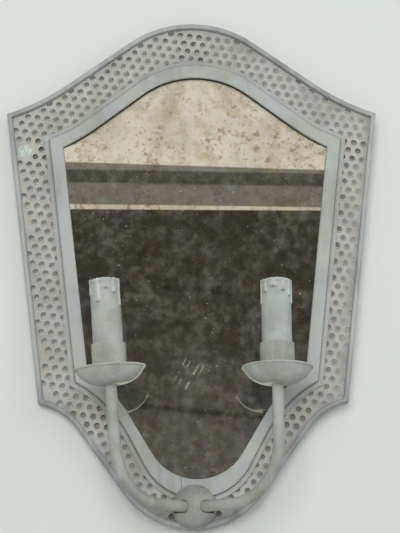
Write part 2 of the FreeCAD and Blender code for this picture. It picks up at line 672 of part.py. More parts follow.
def lampholder_body():
    outer, waist = HOLDER_DIAMETER / 2.0, HOLDER_WAIST_DIAMETER / 2.0
    thread = NIPPLE_DIAMETER / 2.0 + THREAD_GAP
    lead = HOLDER_LEAD_BORE / 2.0
    socket = SHELL_RADIUS + SHELL_GAP
    thread_top = HOLDER_REST + HOLDER_THREAD_LENGTH
    foot_top = HOLDER_REST + HOLDER_FOOT_HEIGHT
    return turned(
        (thread, HOLDER_REST), (outer, HOLDER_REST), (outer, foot_top), (waist, foot_top),
        (waist, HOLDER_TOP - HOLDER_SOCKET_HEIGHT), (outer, HOLDER_TOP - HOLDER_SOCKET_HEIGHT),
        (outer, HOLDER_TOP), (socket, HOLDER_TOP), (socket, SOCKET_FLOOR), (lead, SOCKET_FLOOR),
        (lead, thread_top), (thread, thread_top))


def lampholder_shell():
    """The thin metal cup with the lamp's thread, open at its floor for the contact."""
    outer, inner = SHELL_RADIUS, SOCKET_DIAMETER / 2.0
    hole = SHELL_FLOOR_HOLE / 2.0
    top, floor = SOCKET_FLOOR + SHELL_LENGTH, SOCKET_FLOOR + SHELL_THICKNESS
    return turned((hole, SOCKET_FLOOR), (outer, SOCKET_FLOOR), (outer, top), (inner, top),
                  (inner, floor), (hole, floor))


def lampholder_contact():
    """The centre contact: a plug in the lead's bore, its head flush with the shell's floor."""
    plug = HOLDER_LEAD_BORE / 2.0 - SHELL_GAP
    head = CONTACT_DIAMETER / 2.0
    low, high = SOCKET_FLOOR - CONTACT_DEPTH, SOCKET_FLOOR + SHELL_THICKNESS
    return turned((0.0, low), (plug, low), (plug, SOCKET_FLOOR), (head, SOCKET_FLOOR),
                  (head, high), (0.0, high))


def candle_sleeve(turn):
    """A thin tube with a swollen top edge and wax drips running down from it."""
    outer = SLEEVE_DIAMETER / 2.0
    inner = outer - SLEEVE_WALL
    collar = outer + COLLAR_SWELL
    collar_low = SLEEVE_TOP - COLLAR_HEIGHT
    wall = turned(
        (inner, SLEEVE_REST), (outer, SLEEVE_REST), (outer, collar_low - COLLAR_SWELL),
        (collar, collar_low),
        (collar, SLEEVE_TOP - COLLAR_SWELL), (outer, SLEEVE_TOP), (inner, SLEEVE_TOP))
    radius = DRIP_DIAMETER / 2.0
    drips = []
    for number in range(DRIP_COUNT):
        angle = math.radians(turn + number * 360.0 / DRIP_COUNT)
        reach = outer + DRIP_STANDOFF - radius
        length = DRIP_LENGTH - DRIP_LENGTH_STEP * (number % 3)
        foot = Vec(reach * math.cos(angle), reach * math.sin(angle), SLEEVE_TOP - length)
        run = Part.makeCylinder(radius, length - DRIP_DIAMETER, foot, UP)
        head = foot + UP * (length - DRIP_DIAMETER)
        ends = [Part.makeSphere(radius, foot), Part.makeSphere(radius, head)]
        drips.append(run.fuse(ends))
    bore = Part.makeCylinder(inner, SLEEVE_TOP)
    return wall.fuse(drips).cut(bore)


def lead(path):
    """The insulated lead of one arm, from its lampholder to its splice behind the sheet."""
    side = path.side
    out = path.outward
    line = Part.LineSegment
    half = LEAD_SPACING / 2.0
    turn = math.radians(90.0 - ARM_ANGLE)
    joint = hub_centre() + out * (half / abs(out.x))
    hub_tangent = LEAD_HUB_BEND * math.tan(turn / 2.0)
    hub_in = joint + TO_WALL * hub_tangent
    hub_out = joint + out * hub_tangent
    to_middle = (TO_WALL + out).normalize()
    hub_middle = joint + to_middle * (LEAD_HUB_BEND / math.cos(turn / 2.0) - LEAD_HUB_BEND)
    spread = math.radians(LEAD_REAR_SPREAD)
    down = Vec(side * math.sin(spread), 0.0, -math.cos(spread))
    rear_in = point(side * half, LEAD_REAR_DEPTH + LEAD_REAR_BEND, HUB_HEIGHT)
    rear_centre = rear_in + down * LEAD_REAR_BEND
    rear_middle = rear_centre + (TO_WALL - down).normalize() * LEAD_REAR_BEND
    rear_out = rear_centre + TO_WALL * LEAD_REAR_BEND
    end = rear_out + down * (LEAD_REAR_RUN + SPLICE_GRIP)
    edges = [line(end, rear_out).toShape(), Part.Arc(rear_out, rear_middle, rear_in).toShape()]
    edges.append(line(rear_in, hub_in).toShape())
    edges.append(Part.Arc(hub_in, hub_middle, hub_out).toShape())
    edges.append(line(hub_out, path.bend_start).toShape())
    edges += path.bend_edges()
    edges.append(line(path.bend_end, path.top + path.upward() * LEAD_TOP).toShape())
    length = sum(edge.Length for edge in edges)
    shape = pipe(LEAD_DIAMETER, edges)
    section = math.pi * LEAD_DIAMETER ** 2 / 4.0
    if abs(shape.Volume - section * length) > 0.01 * section * length:
        raise ValueError("the lead's sweep lost part of its length")
    return shape


def splice(side):
    """A blind sleeve crimped on the end of one lead."""
    spread = math.radians(LEAD_REAR_SPREAD)
    down = Vec(side * math.sin(spread), 0.0, -math.cos(spread))
    start = point(side * LEAD_SPACING / 2.0, LEAD_REAR_DEPTH, HUB_HEIGHT)
    mouth = start + down * (LEAD_REAR_BEND + LEAD_REAR_RUN)
    body = Part.makeCylinder(SPLICE_DIAMETER / 2.0 + SPLICE_BORE_GAP, SPLICE_LENGTH, mouth, down)
    return body.cut(Part.makeCylinder(LEAD_DIAMETER / 2.0 + SPLICE_BORE_GAP, SPLICE_GRIP, mouth, down))


def insulating_plate():
    rear = INSULATOR_FRONT - INSULATOR_THICKNESS
    room = RIM.prism(SHEET_OUTER_INSET, INSULATOR_FRONT, rear)
    plate = room.common(slab(0.0, INSULATOR_TOP, INSULATOR_FRONT, rear, INSULATOR_HALF_WIDTH))
    return plate.cut(disc(INLET_DIAMETER, INSULATOR_FRONT, rear, INLET_HEIGHT))


def cable_grommet():
    front, rear = INSULATOR_FRONT, INSULATOR_FRONT - INSULATOR_THICKNESS
    flanges = disc(GROMMET_FLANGE, front + GROMMET_LIP, front, INLET_HEIGHT)
    flanges = flanges.fuse(disc(GROMMET_FLANGE, rear, rear - GROMMET_LIP, INLET_HEIGHT))
    neck = disc(INLET_DIAMETER - SHELL_GAP, front, rear, INLET_HEIGHT)
    return flanges.fuse(neck).cut(disc(GROMMET_BORE, front + GROMMET_LIP, 0.0, INLET_HEIGHT))


def save(name, shape):
    """Write one piece as its own STEP file."""
    shape.exportStep("parts/" + name + ".step")


def main():
    os.makedirs("parts", exist_ok=True)
    save("outer_rim", outer_rim())
    save("perforated_panel", perforated_panel())
    save("mirror_moulding", mirror_moulding())
    save("mirror_glass", mirror_glass())
    save("backing_board", backing_board())
    save("retaining_tabs", retaining_tabs())
    save("upper_strap", strap(UPPER_STRAP_HEIGHT))
    save("lower_strap", strap(LOWER_STRAP_HEIGHT))
    save("keyhole_plate", keyhole_plate())
    save("boss_plate", boss_plate())
    save("arm_hub", arm_hub())
    save("stem_washer", stem_washer())
    save("stem_nut", stem_nut())
    save("boss_cover", boss_cover())
    save("insulating_plate", insulating_plate())
    save("cable_grommet", cable_grommet())
    save("lead_splices", Part.makeCompound([splice(-1.0), splice(1.0)]))
    arms = (("left", -1.0, LEFT_LEAN, LEFT_DRIP_TURN), ("right", 1.0, RIGHT_LEAN, RIGHT_DRIP_TURN))
    for word, side, lean, turn in arms:
        path = ArmPath(side, lean)
        save("arm_" + word, arm(path))
        save("lead_" + word, lead(path))
        save("arm_nipple_" + word, path.placed(arm_nipple()))
        save("drip_dish_" + word, path.placed(drip_dish()))
        save("candle_cup_" + word, path.placed(candle_cup()))
        save("cup_nut_" + word, path.placed(cup_nut()))
        save("lampholder_body_" + word, path.placed(lampholder_body()))
        save("lampholder_shell_" + word, path.placed(lampholder_shell()))
        save("lampholder_contact_" + word, path.placed(lampholder_contact()))
        save("candle_sleeve_" + word, path.placed(candle_sleeve(turn)))


main()
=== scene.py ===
"""Looks for a girandole wall mirror: chalky paint, an antiqued mirror, candle sleeves, wall and light.

Lengths are in metres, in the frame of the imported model: X to the right, Y into the wall, Z up, and the
origin on the wall behind the keyhole. The mirror's own sizes and places are fields in millimetres, as on
the drawing; the stage, the paints' reaches and widths and the node trees use metres.
"""

import json
import logging
import math
from dataclasses import dataclass, field
from enum import Enum
from typing import Callable, Mapping, Sequence

import bmesh
import bpy
from mathutils import Matrix, Vector, noise
from mathutils.bvhtree import BVHTree

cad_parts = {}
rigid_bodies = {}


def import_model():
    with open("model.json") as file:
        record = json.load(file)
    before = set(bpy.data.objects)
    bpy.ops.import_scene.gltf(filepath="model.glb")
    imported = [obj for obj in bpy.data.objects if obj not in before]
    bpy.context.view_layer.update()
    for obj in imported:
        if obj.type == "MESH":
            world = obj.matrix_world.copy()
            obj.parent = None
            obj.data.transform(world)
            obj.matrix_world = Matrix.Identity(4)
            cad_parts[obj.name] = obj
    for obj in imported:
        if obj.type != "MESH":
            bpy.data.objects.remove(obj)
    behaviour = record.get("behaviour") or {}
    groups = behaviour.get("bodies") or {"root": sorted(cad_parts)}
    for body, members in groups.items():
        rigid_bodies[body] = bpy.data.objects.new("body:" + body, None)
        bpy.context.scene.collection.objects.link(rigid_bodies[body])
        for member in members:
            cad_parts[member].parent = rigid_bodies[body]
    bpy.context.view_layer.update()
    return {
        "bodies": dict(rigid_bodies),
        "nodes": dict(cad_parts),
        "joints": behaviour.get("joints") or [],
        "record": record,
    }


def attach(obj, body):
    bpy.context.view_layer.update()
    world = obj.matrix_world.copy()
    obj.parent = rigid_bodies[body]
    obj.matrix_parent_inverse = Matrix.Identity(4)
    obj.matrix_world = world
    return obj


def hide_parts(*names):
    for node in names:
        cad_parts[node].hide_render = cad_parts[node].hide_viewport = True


LOG = logging.getLogger("girandole")
MM = 0.001
HANG_HEIGHT = 447.0
UP = Vector((0.0, 0.0, 1.0))
INWARDS = Vector((0.0, 1.0, 0.0))
RAY_START = 40.0
RAY_LENGTH = 0.1

Rgb = tuple[float, float, float]
Node = bpy.types.Node
Socket = bpy.types.NodeSocket


def shade(red: float, green: float, blue: float) -> Rgb:
    """Turn a colour as it is seen on a screen, 0 to 255, into the linear one that a shader takes.

    Args:
        red: Red as seen.
        green: Green as seen.
        blue: Blue as seen.

    Returns:
        The linear colour.
    """
    values = []
    for value in (red, green, blue):
        part = value / 255.0
        values.append(part / 12.92 if part <= 0.04045 else ((part + 0.055) / 1.055) ** 2.4)
    return (values[0], values[1], values[2])


def place(across: float, depth: float, height: float) -> Vector:
    """A point in metres from its drawing place in millimetres.

    Args:
        across: Distance to the right of the middle.
        depth: Distance in front of the wall.
        height: Height above the rim's lower tip.

    Returns:
        The point in the model's frame.
    """
    return Vector((across, -depth, height - HANG_HEIGHT)) * MM


class Side(Enum):
    """The two arms, with the sign of their X."""

    LEFT = -1.0
    RIGHT = 1.0

    @property
    def word(self) -> str:
        """The side's name as it ends a node's name."""
        return self.name.lower()


class ShaderTree:
    """A short way to add and join nodes in a material, a world or a node group."""

    def __init__(self, tree: bpy.types.NodeTree) -> None:
        """Take an empty or existing tree.

        Args:
            tree: The node tree to build in.
        """
        self.tree = tree
        self.count = 0

    def node(self, kind: str, inputs: Mapping | Sequence = (), **settings: object) -> Node:
        """Add a node, set its plain properties and feed its inputs.

        Args:
            kind: The node's type name.
            inputs: Sockets or plain values, by the input's name or number, or in order.
            settings: Property names and values.

        Returns:
            The new node.
        """
        made = self.tree.nodes.new(kind)
        made.location = (180.0 * (self.count % 12), -220.0 * (self.count // 12))
        self.count += 1
        for name, value in settings.items():
            setattr(made, name, value)
        for key, value in inputs.items() if isinstance(inputs, Mapping) else enumerate(inputs):
            self.feed(made.inputs[key], value)
        return made

    def feed(self, socket: Socket, value: object) -> None:
        """Link or set an input.

        Args:
            socket: The input socket.
            value: Another socket to link, or a plain value.
        """
        if isinstance(value, Socket):
            self.tree.links.new(value, socket)
        elif isinstance(value, tuple) and len(value) == 3 and socket.type == "RGBA":
            socket.default_value = (*value, 1.0)
        else:
            socket.default_value = value

    def math(self, operation: str, *values: object, clamp: bool = False) -> Socket:
        """Add a Math node with its inputs in order."""
        return self.node("ShaderNodeMath", values, operation=operation, use_clamp=clamp).outputs[0]

    def product(self, first: object, *others: object) -> Socket:
        """Multiply values.

        Args:
            first: The first value.
            others: The values to multiply it with.

        Returns:
            The product's socket.
        """
        for other in others:
            first = self.math("MULTIPLY", first, other)
        return first

    def total(self, first: object, *others: object) -> Socket:
        """Add values up.

        Args:
            first: The first value.
            others: The values to add to it.

        Returns:
            The sum's socket.
        """
        for other in others:
            first = self.math("ADD", first, other)
        return first

    def ramp(self, value: object, low: object, high: object, start: float = 0.0, end: float = 1.0) -> Socket:
        """Map a range smoothly onto another one.

        Args:
            value: The input.
            low: Where the rise starts.
            high: Where the rise ends.
            start: The result at and below low.
            end: The result at and above high.

        Returns:
            The mapped value's socket.
        """
        inputs = (value, low, high, start, end)
        return self.node("ShaderNodeMapRange", inputs, interpolation_type="SMOOTHSTEP").outputs[0]

    def mix(self, mask: object, first: object, second: object, blend: str = "MIX") -> Socket:
        """Mix two colours.

        Args:
            mask: The share of the second colour.
            first: The first colour.
            second: The second colour.
            blend: The way of mixing.

        Returns:
            The mixed colour's socket.
        """
        inputs = {0: mask, 6: first, 7: second}
        return self.node("ShaderNodeMix", inputs, data_type="RGBA", blend_type=blend).outputs[2]

    def noise(self, vector: object, scale: object, detail: float = 4.0, rough: float = 0.6) -> Socket:
        """Add a noise texture.

        Args:
            vector: Its coordinates.
            scale: Its scale, in grains a metre.
            detail: Its octaves.
            rough: Its roughness.

        Returns:
            The noise value's socket.
        """
        inputs = {"Vector": vector, "Scale": scale, "Detail": detail, "Roughness": rough}
        return self.node("ShaderNodeTexNoise", inputs).outputs[0]

    def stretch(self, vector: object, factors: tuple[float, float, float]) -> Socket:
        """Scale coordinates along each axis, for brush marks and runs."""
        return self.node("ShaderNodeMapping", {"Vector": vector, "Scale": factors}).outputs[0]

    def vector(self, operation: str, first: object, second: object) -> Socket:
        """Add a Vector Math node.

        Args:
            operation: The node's operation.
            first: The first vector.
            second: The second vector.

        Returns:
            The result's socket, a value or a vector as the operation gives.
        """
        made = self.node("ShaderNodeVectorMath", (first, second), operation=operation)
        return made.outputs["Value" if operation in ("DOT_PRODUCT", "DISTANCE") else "Vector"]

    def split(self, vector: object) -> Mapping[str, Socket]:
        """The X, Y and Z of a vector, by name."""
        return self.node("ShaderNodeSeparateXYZ", (vector,)).outputs

    def here(self) -> Socket:
        """The place on the piece, in metres."""
        return self.node("ShaderNodeTexCoord").outputs["Object"]

    def facing(self) -> Socket:
        """The direction of the flat face."""
        return self.node("ShaderNodeNewGeometry").outputs["True Normal"]

    def flatness(self, radius: object, samples: int) -> Socket:
        """How far a rounded normal keeps to the flat one: 1 away from edges, less beside them.

        Args:
            radius: How far from an edge the rounding reaches, in metres.
            samples: Rays for each point.

        Returns:
            The value's socket.
        """
        bevel = self.node("ShaderNodeBevel", {"Radius": radius}, samples=samples)
        return self.vector("DOT_PRODUCT", bevel.outputs[0], self.facing())

    def principled(
        self,
        colour: object,
        roughness: object,
        specular: float = 0.5,
        metallic: object = 0.0,
        height: Socket | None = None,
        depth: float = 0.0,
        strength: float = 1.0,
    ) -> Socket:
        """Add a Principled BSDF, with a bump where a height is given.

        Args:
            colour: The base colour.
            roughness: The roughness.
            specular: The specular level.
            metallic: The share of metal.
            height: The bump's height, from 0 to 1.
            depth: The bump's depth in metres.
            strength: The bump's strength.

        Returns:
            The shader's socket.
        """
        inputs = {
            "Base Color": colour, "Roughness": roughness, "Specular IOR Level": specular, "Metallic": metallic}
        if height is not None:
            bump = {"Height": height, "Distance": depth, "Strength": strength}
            inputs["Normal"] = self.node("ShaderNodeBump", bump).outputs[0]
        return self.node("ShaderNodeBsdfPrincipled", inputs).outputs[0]

    def either(self, mask: object, first: Socket, second: Socket) -> Socket:
        """Show the second shader where the mask is 1, and the first elsewhere."""
        return self.node("ShaderNodeMixShader", (mask, first, second)).outputs[0]


def empty_tree(owner: bpy.types.Material | bpy.types.World) -> ShaderTree:
    """Give a material or a world an empty node tree.

    Args:
        owner: The material or world.

    Returns:
        Its tree.
    """
    owner.use_nodes = True
    owner.node_tree.nodes.clear()
    return ShaderTree(owner.node_tree)


class EffectGroup:
    """A shared surface effect, kept as a node group with named inputs and outputs."""

    def __init__(
        self,
        name: str,
        inputs: Sequence[tuple[str, str, object]],
        outputs: Sequence[tuple[str, str]],
        fill: Callable[[ShaderTree, Mapping[str, Socket]], Mapping[str, Socket]],
    ) -> None:
        """Build the group.

        Args:
            name: The group's name.
            inputs: Name, socket type and default of each input.
            outputs: Name and socket type of each output.
            fill: Adds the nodes and gives the socket of each output, from those of the inputs.
        """
        self.group = bpy.data.node_groups.new(name, "ShaderNodeTree")
        for label, kind, default in inputs:
            socket = self.group.interface.new_socket(label, in_out="INPUT", socket_type=kind)
            if default is not None:
                socket.default_value = default
        for label, kind in outputs:
            self.group.interface.new_socket(label, in_out="OUTPUT", socket_type=kind)
        tree = ShaderTree(self.group)
        tree.node("NodeGroupOutput", fill(tree, tree.node("NodeGroupInput").outputs))

    def use(self, tree: ShaderTree, **values: object) -> Mapping[str, Socket]:
        """Place the group in a material.

        Args:
            tree: The material's tree.
            values: Input names, with underscores for spaces, and their values.

        Returns:
            The group's outputs.
        """
        inputs = {label.replace("_", " "): value for label, value in values.items()}
        return tree.node("ShaderNodeGroup", inputs, node_tree=self.group).outputs


def brushed_chalk(tree: ShaderTree, given: Mapping[str, Socket]) -> Mapping[str, Socket]:
    """Chalk paint: cloudy patches, brush drag, a second colour showing and fine tooth.

    Args:
        tree: The group's tree.
        given: The group's inputs.

    Returns:
        The group's outputs.
    """
    at = given["Place"]
    cloud = tree.noise(at, given["Patch scale"], 3.0, 0.55)
    drag = tree.noise(tree.vector("MULTIPLY", at, given["Drag"]), 90.0, 5.0, 0.7)
    fine = tree.noise(at, 900.0, 3.0, 0.7)
    chip = tree.noise(at, given["Chip scale"], 6.0, 0.75)
    cloudy = tree.mix(tree.ramp(cloud, 0.35, 0.65), given["Light"], given["Dark"])
    dragged = tree.mix(
        tree.product(tree.ramp(drag, 0.46, 0.66), given["Drag share"]), cloudy, given["Drag colour"])
    chips = tree.product(
        tree.ramp(chip, tree.math("SUBTRACT", 0.86, given["Chips"]), 0.86),
        tree.ramp(cloud, 0.4, 0.6, 1.0, 0.35))
    chipped = tree.mix(chips, dragged, given["Chip colour"])
    grain = tree.node("ShaderNodeCombineColor", [tree.ramp(fine, 0.2, 0.8, 0.93, 1.05)] * 3).outputs[0]
    rough = tree.total(tree.product(cloud, 0.25), given["Roughness"])
    height = tree.total(tree.product(drag, 0.6), tree.product(fine, 0.25))
    return {
        "Color": tree.mix(1.0, chipped, grain, "MULTIPLY"),
        "Roughness": tree.math("ADD", rough, tree.product(chips, 0.12), clamp=True),
        "Height": tree.math("SUBTRACT", height, tree.product(chips, 0.5)),
    }


def edge_and_corner(tree: ShaderTree, given: Mapping[str, Socket]) -> Mapping[str, Socket]:
    """Masks of rubbed outer edges and of inner corners, found by ambient occlusion and broken up by noise.

    Args:
        tree: The group's tree.
        given: The group's inputs.

    Returns:
        The group's outputs.
    """
    turned = tree.ramp(tree.flatness(given["Edge width"], 6), 0.90, 0.995, 1.0, 0.0)
    reach = {"Distance": given["Corner reach"]}
    wide = tree.node("ShaderNodeAmbientOcclusion", reach, samples=8, only_local=True)
    corner = tree.ramp(wide.outputs["AO"], 0.42, 0.93, 1.0, 0.0)
    broken = tree.ramp(tree.noise(given["Place"], 120.0, 5.0, 0.7), 0.38, 0.62)
    open_side = tree.math("SUBTRACT", 1.0, corner, clamp=True)
    return {
        "Edge": tree.product(turned, open_side, broken),
        "Corner": tree.product(corner, tree.ramp(broken, 0.0, 1.0, 0.62, 1.0)),
    }


@dataclass
class Effects:
    """The shared effect groups, built once."""

    chalk: EffectGroup = field(init=False)
    edges: EffectGroup = field(init=False)

    def __post_init__(self) -> None:
        """Build each group."""
        colour, number, vector = "NodeSocketColor", "NodeSocketFloat", "NodeSocketVector"
        self.chalk = EffectGroup(
            "Brushed chalk",
            [("Place", vector, None), ("Drag", vector, (1.0, 1.0, 0.15)), ("Patch scale", number, 22.0),
             ("Chip scale", number, 160.0), ("Light", colour, None), ("Dark", colour, None),
             ("Drag colour", colour, None), ("Drag share", number, 0.5), ("Chip colour", colour, None),
             ("Chips", number, 0.1), ("Roughness", number, 0.5)],
            [("Color", colour), ("Roughness", number), ("Height", number)], brushed_chalk)
        self.edges = EffectGroup(
            "Edge and corner",
            [("Place", vector, None), ("Edge width", number, 0.0006), ("Corner reach", number, 0.004)],
            [("Edge", number), ("Corner", number)], edge_and_corner)


class Finish:
    """What every finish can do: make one material of its own."""

    name: str

    def build(self, effects: Effects) -> bpy.types.Material:
        """Make the material.

        Args:
            effects: The shared effect groups.

        Returns:
            The material.
        """
        material = bpy.data.materials.new(self.name)
        tree = empty_tree(material)
        tree.node("ShaderNodeOutputMaterial", {"Surface": self.surface(tree, effects)})
        return material

    def surface(self, tree: ShaderTree, effects: Effects) -> Socket:
        """Add the finish's nodes.

        Args:
            tree: The material's tree.
            effects: The shared effect groups.

        Returns:
            The shader's socket.
        """
        raise NotImplementedError


@dataclass(frozen=True)
class ChalkPaint(Finish):
    """Distressed chalk paint on metal or card."""

    name: str
    light: Rgb
    dark: Rgb
    drag_colour: Rgb
    drag: tuple[float, float, float] = (1.0, 1.0, 0.15)
    drag_share: float = 0.5
    chip_colour: Rgb = shade(96, 88, 74)
    chips: float = 0.10
    patch_scale: float = 22.0
    chip_scale: float = 160.0
    wax: Rgb = shade(70, 64, 54)
    wax_and_shade_share: float = 0.85
    corner_reach: float = 0.004
    edge_colour: Rgb = shade(214, 216, 208)
    edge_share: float = 0.5
    edge_width: float = 0.0006
    roughness: float = 0.42
    bump: float = 0.00012

    def surface(self, tree: ShaderTree, effects: Effects) -> Socket:
        """Layer the paint, the rubbed edges and the dark wax in inner corners, which also paints the shade
        that falls there.

        Args:
            tree: The material's tree.
            effects: The shared effect groups.

        Returns:
            The shader's socket.
        """
        at = tree.here()
        paint = effects.chalk.use(
            tree, Place=at, Drag=self.drag, Patch_scale=self.patch_scale, Chip_scale=self.chip_scale,
            Light=self.light, Dark=self.dark, Drag_colour=self.drag_colour, Drag_share=self.drag_share,
            Chip_colour=self.chip_colour, Chips=self.chips, Roughness=self.roughness)
        marks = effects.edges.use(tree, Place=at, Edge_width=self.edge_width, Corner_reach=self.corner_reach)
        rubbed = tree.mix(tree.product(marks["Edge"], self.edge_share), paint["Color"], self.edge_colour)
        # Dark wax in inner corners, partly real wax and partly painted shade, darker where the corner is more
        # occluded.
        waxed_and_shaded = tree.mix(tree.product(marks["Corner"], self.wax_and_shade_share), rubbed, self.wax)
        return tree.principled(
            self.marked(tree, at, waxed_and_shaded), paint["Roughness"], specular=0.45, height=paint["Height"],
            depth=self.bump, strength=0.7)

    def marked(self, tree: ShaderTree, at: Socket, colour: Socket) -> Socket:
        """Let a special paint add marks of its own; plain paint adds none."""
        return colour


def edge_line(tree: ShaderTree, radius: float, low: float, high: float) -> Socket:
    """Find a thin line that runs along every edge of a piece.

    Args:
        tree: The material's tree.
        radius: How far from the edge the search reaches, in metres.
        low: The flatness at which the line begins.
        high: The flatness at which the line ends.

    Returns:
        The mask's socket, 1 in the line.
    """
    flatness = tree.flatness(radius, 8)
    middle = (low + high) / 2.0
    return tree.product(tree.ramp(flatness, low, middle), tree.ramp(flatness, middle, high, 1.0, 0.0))


@dataclass(frozen=True)
class RimPaint(ChalkPaint):
    """The rim's paint, rubbed pale on its corners, with a dark line beside them that is partly dark wax and
    partly painted shadow.
    """

    line_width: float = 2.2
    line_share: float = 0.62

    def marked(self, tree: ShaderTree, at: Socket, colour: Socket) -> Socket:
        """Draw the dark line beside the rim's edges, partly dark wax and partly painted shadow where the rim
        meets the sheet.

        Args:
            tree: The material's tree.
            at: The place on the rim.
            colour: The paint so far.

        Returns:
            The marked colour's socket.
        """
        # Dark line beside every edge of the rim: partly dark wax, partly painted shadow that thickens the dark
        # line where the rim meets the sheet.
        line = edge_line(tree, self.line_width * MM, 0.90, 0.999)
        broken = tree.ramp(tree.noise(at, 60.0, 4.0, 0.6), 0.34, 0.56, 0.45, 1.0)
        return tree.mix(tree.product(line, broken, self.line_share), colour, self.wax)


@dataclass(frozen=True)
class MouldingPaint(ChalkPaint):
    """The moulding's paint, with the joint in its band, a dark outline along its edges that is partly painted
    shade, and painted shade on its upright walls, darkest on the wall round the glass.
    """

    joint_across: float = -11.3
    joint_top: float = 57.0
    middle: float = 230.0
    outline_width: float = 1.3
    outline_share: float = 0.5
    inner_wall_shade: float = 0.92
    outer_wall_shade: float = 0.30

    def marked(self, tree: ShaderTree, at: Socket, colour: Socket) -> Socket:
        """Draw the joint near the moulding's toe, its outline, partly painted shade, and the painted shade on
        its upright walls.

        Args:
            tree: The material's tree.
            at: The place on the moulding.
            colour: The paint so far.

        Returns:
            The marked colour's socket.
        """
        split = tree.split(at)
        off = tree.math("ABSOLUTE", tree.math("SUBTRACT", split["X"], self.joint_across * MM))
        top = place(0.0, 0.0, self.joint_top).z
        low = tree.ramp(split["Z"], top - 0.005, top, 1.0, 0.0)
        joint = tree.product(tree.ramp(off, 0.0002, 0.0006, 0.6, 0.0), low)
        facing = tree.facing()
        from_middle = tree.vector("SUBTRACT", at, place(0.0, 10.0, self.middle))
        outward = tree.vector("DOT_PRODUCT", facing, from_middle)
        # Painted shade on the upright walls: strong on the inner wall round the glass, weak on the outer
        # walls.
        upright = tree.ramp(tree.math("ABSOLUTE", tree.split(facing)["Y"]), 0.2, 0.6, 1.0, 0.0)
        wall = tree.ramp(outward, -0.004, 0.004, self.inner_wall_shade, self.outer_wall_shade)
        # Dark outline beside every edge, partly dark wax and partly painted shade.
        outline = tree.product(edge_line(tree, self.outline_width * MM, 0.80, 0.999), self.outline_share)
        outlined = tree.mix(outline, colour, self.wax)
        return tree.mix(tree.math("MAXIMUM", joint, tree.product(upright, wall)), outlined, self.wax)


@dataclass(frozen=True)
class CandlePaint(ChalkPaint):
    """Paint of the pieces that stand before the glass, darkened with painted shade wherever a glossy ray, as
    from the mirror, sees them.
    """

    reflected_shade: float = 0.55
    reflected_shade_colour: Rgb = shade(22, 26, 22)

    def marked(self, tree: ShaderTree, at: Socket, colour: Socket) -> Socket:
        """Darken what the mirror shows of the piece with painted shade.

        Args:
            tree: The material's tree.
            at: The place on the piece, not used here.
            colour: The paint so far.

        Returns:
            The marked colour's socket.
        """
        # Painted shade: every glossy ray, such as one from the mirror, sees the paint darkened.
        glossy = tree.node("ShaderNodeLightPath").outputs["Is Glossy Ray"]
        return tree.mix(tree.product(glossy, self.reflected_shade), colour, self.reflected_shade_colour)


@dataclass(frozen=True)
class DishPaint(CandlePaint):
    """The drip dishes' paint, with a painted highlight along the glancing edge on the side that faces the
    other candle.
    """

    painted_highlight: Rgb = shade(255, 250, 236)
    middle: float = 70.7

    def marked(self, tree: ShaderTree, at: Socket, colour: Socket) -> Socket:
        """Paint a highlight along the glancing edge on the inner half of each dish.

        Args:
            tree: The material's tree.
            at: The place on the dish.
            colour: The paint so far.

        Returns:
            The marked colour's socket.
        """
        across = tree.product(tree.math("ABSOLUTE", tree.split(at)["X"]), 1.0 / MM)
        inner = tree.ramp(across, self.middle - 10.0, self.middle + 2.0, 1.0, 0.0)
        # Painted highlight where the surface turns away from the view, on the inner half only.
        weight = tree.node("ShaderNodeLayerWeight", {"Blend": 0.5})
        edge = tree.ramp(weight.outputs["Facing"], 0.70, 0.82)
        shaded_in_mirror = CandlePaint.marked(self, tree, at, colour)
        return tree.mix(tree.product(inner, edge), shaded_in_mirror, self.painted_highlight)


@dataclass(frozen=True)
class WaxedSleeve(CandlePaint):
    """The candle sleeves' paint: a painted highlight along the wax runs' edges and the top edge, and a painted
    shadow at the runs' feet.
    """

    highlight_colour: Rgb = shade(224, 226, 220)
    run_shadow_colour: Rgb = shade(104, 104, 98)
    highlight_share: float = 0.34
    run_shadow_share: float = 0.75

    def marked(self, tree: ShaderTree, at: Socket, colour: Socket) -> Socket:
        """Use the painted highlight and painted shadow masks that the sleeve's own mesh carries.

        Args:
            tree: The material's tree.
            at: The place on the sleeve.
            colour: The paint so far.

        Returns:
            The marked colour's socket.
        """
        wax, foot = (
            tree.node("ShaderNodeAttribute", attribute_name=name).outputs["Fac"]
            for name in ("wax_edge", "wax_foot"))
        chips = tree.ramp(tree.noise(at, 210.0, 3.0, 0.6), 0.42, 0.62)
        # Painted highlight on the runs' edges and the top edge, broken by noise.
        pale = tree.product(wax, tree.total(0.25, tree.product(chips, 0.75)), self.highlight_share)
        rubbed = tree.mix(pale, colour, self.highlight_colour)
        # Painted shadow at the runs' feet.
        run_shadow = tree.mix(tree.product(foot, self.run_shadow_share), rubbed, self.run_shadow_colour)
        return CandlePaint.marked(self, tree, at, run_shadow)


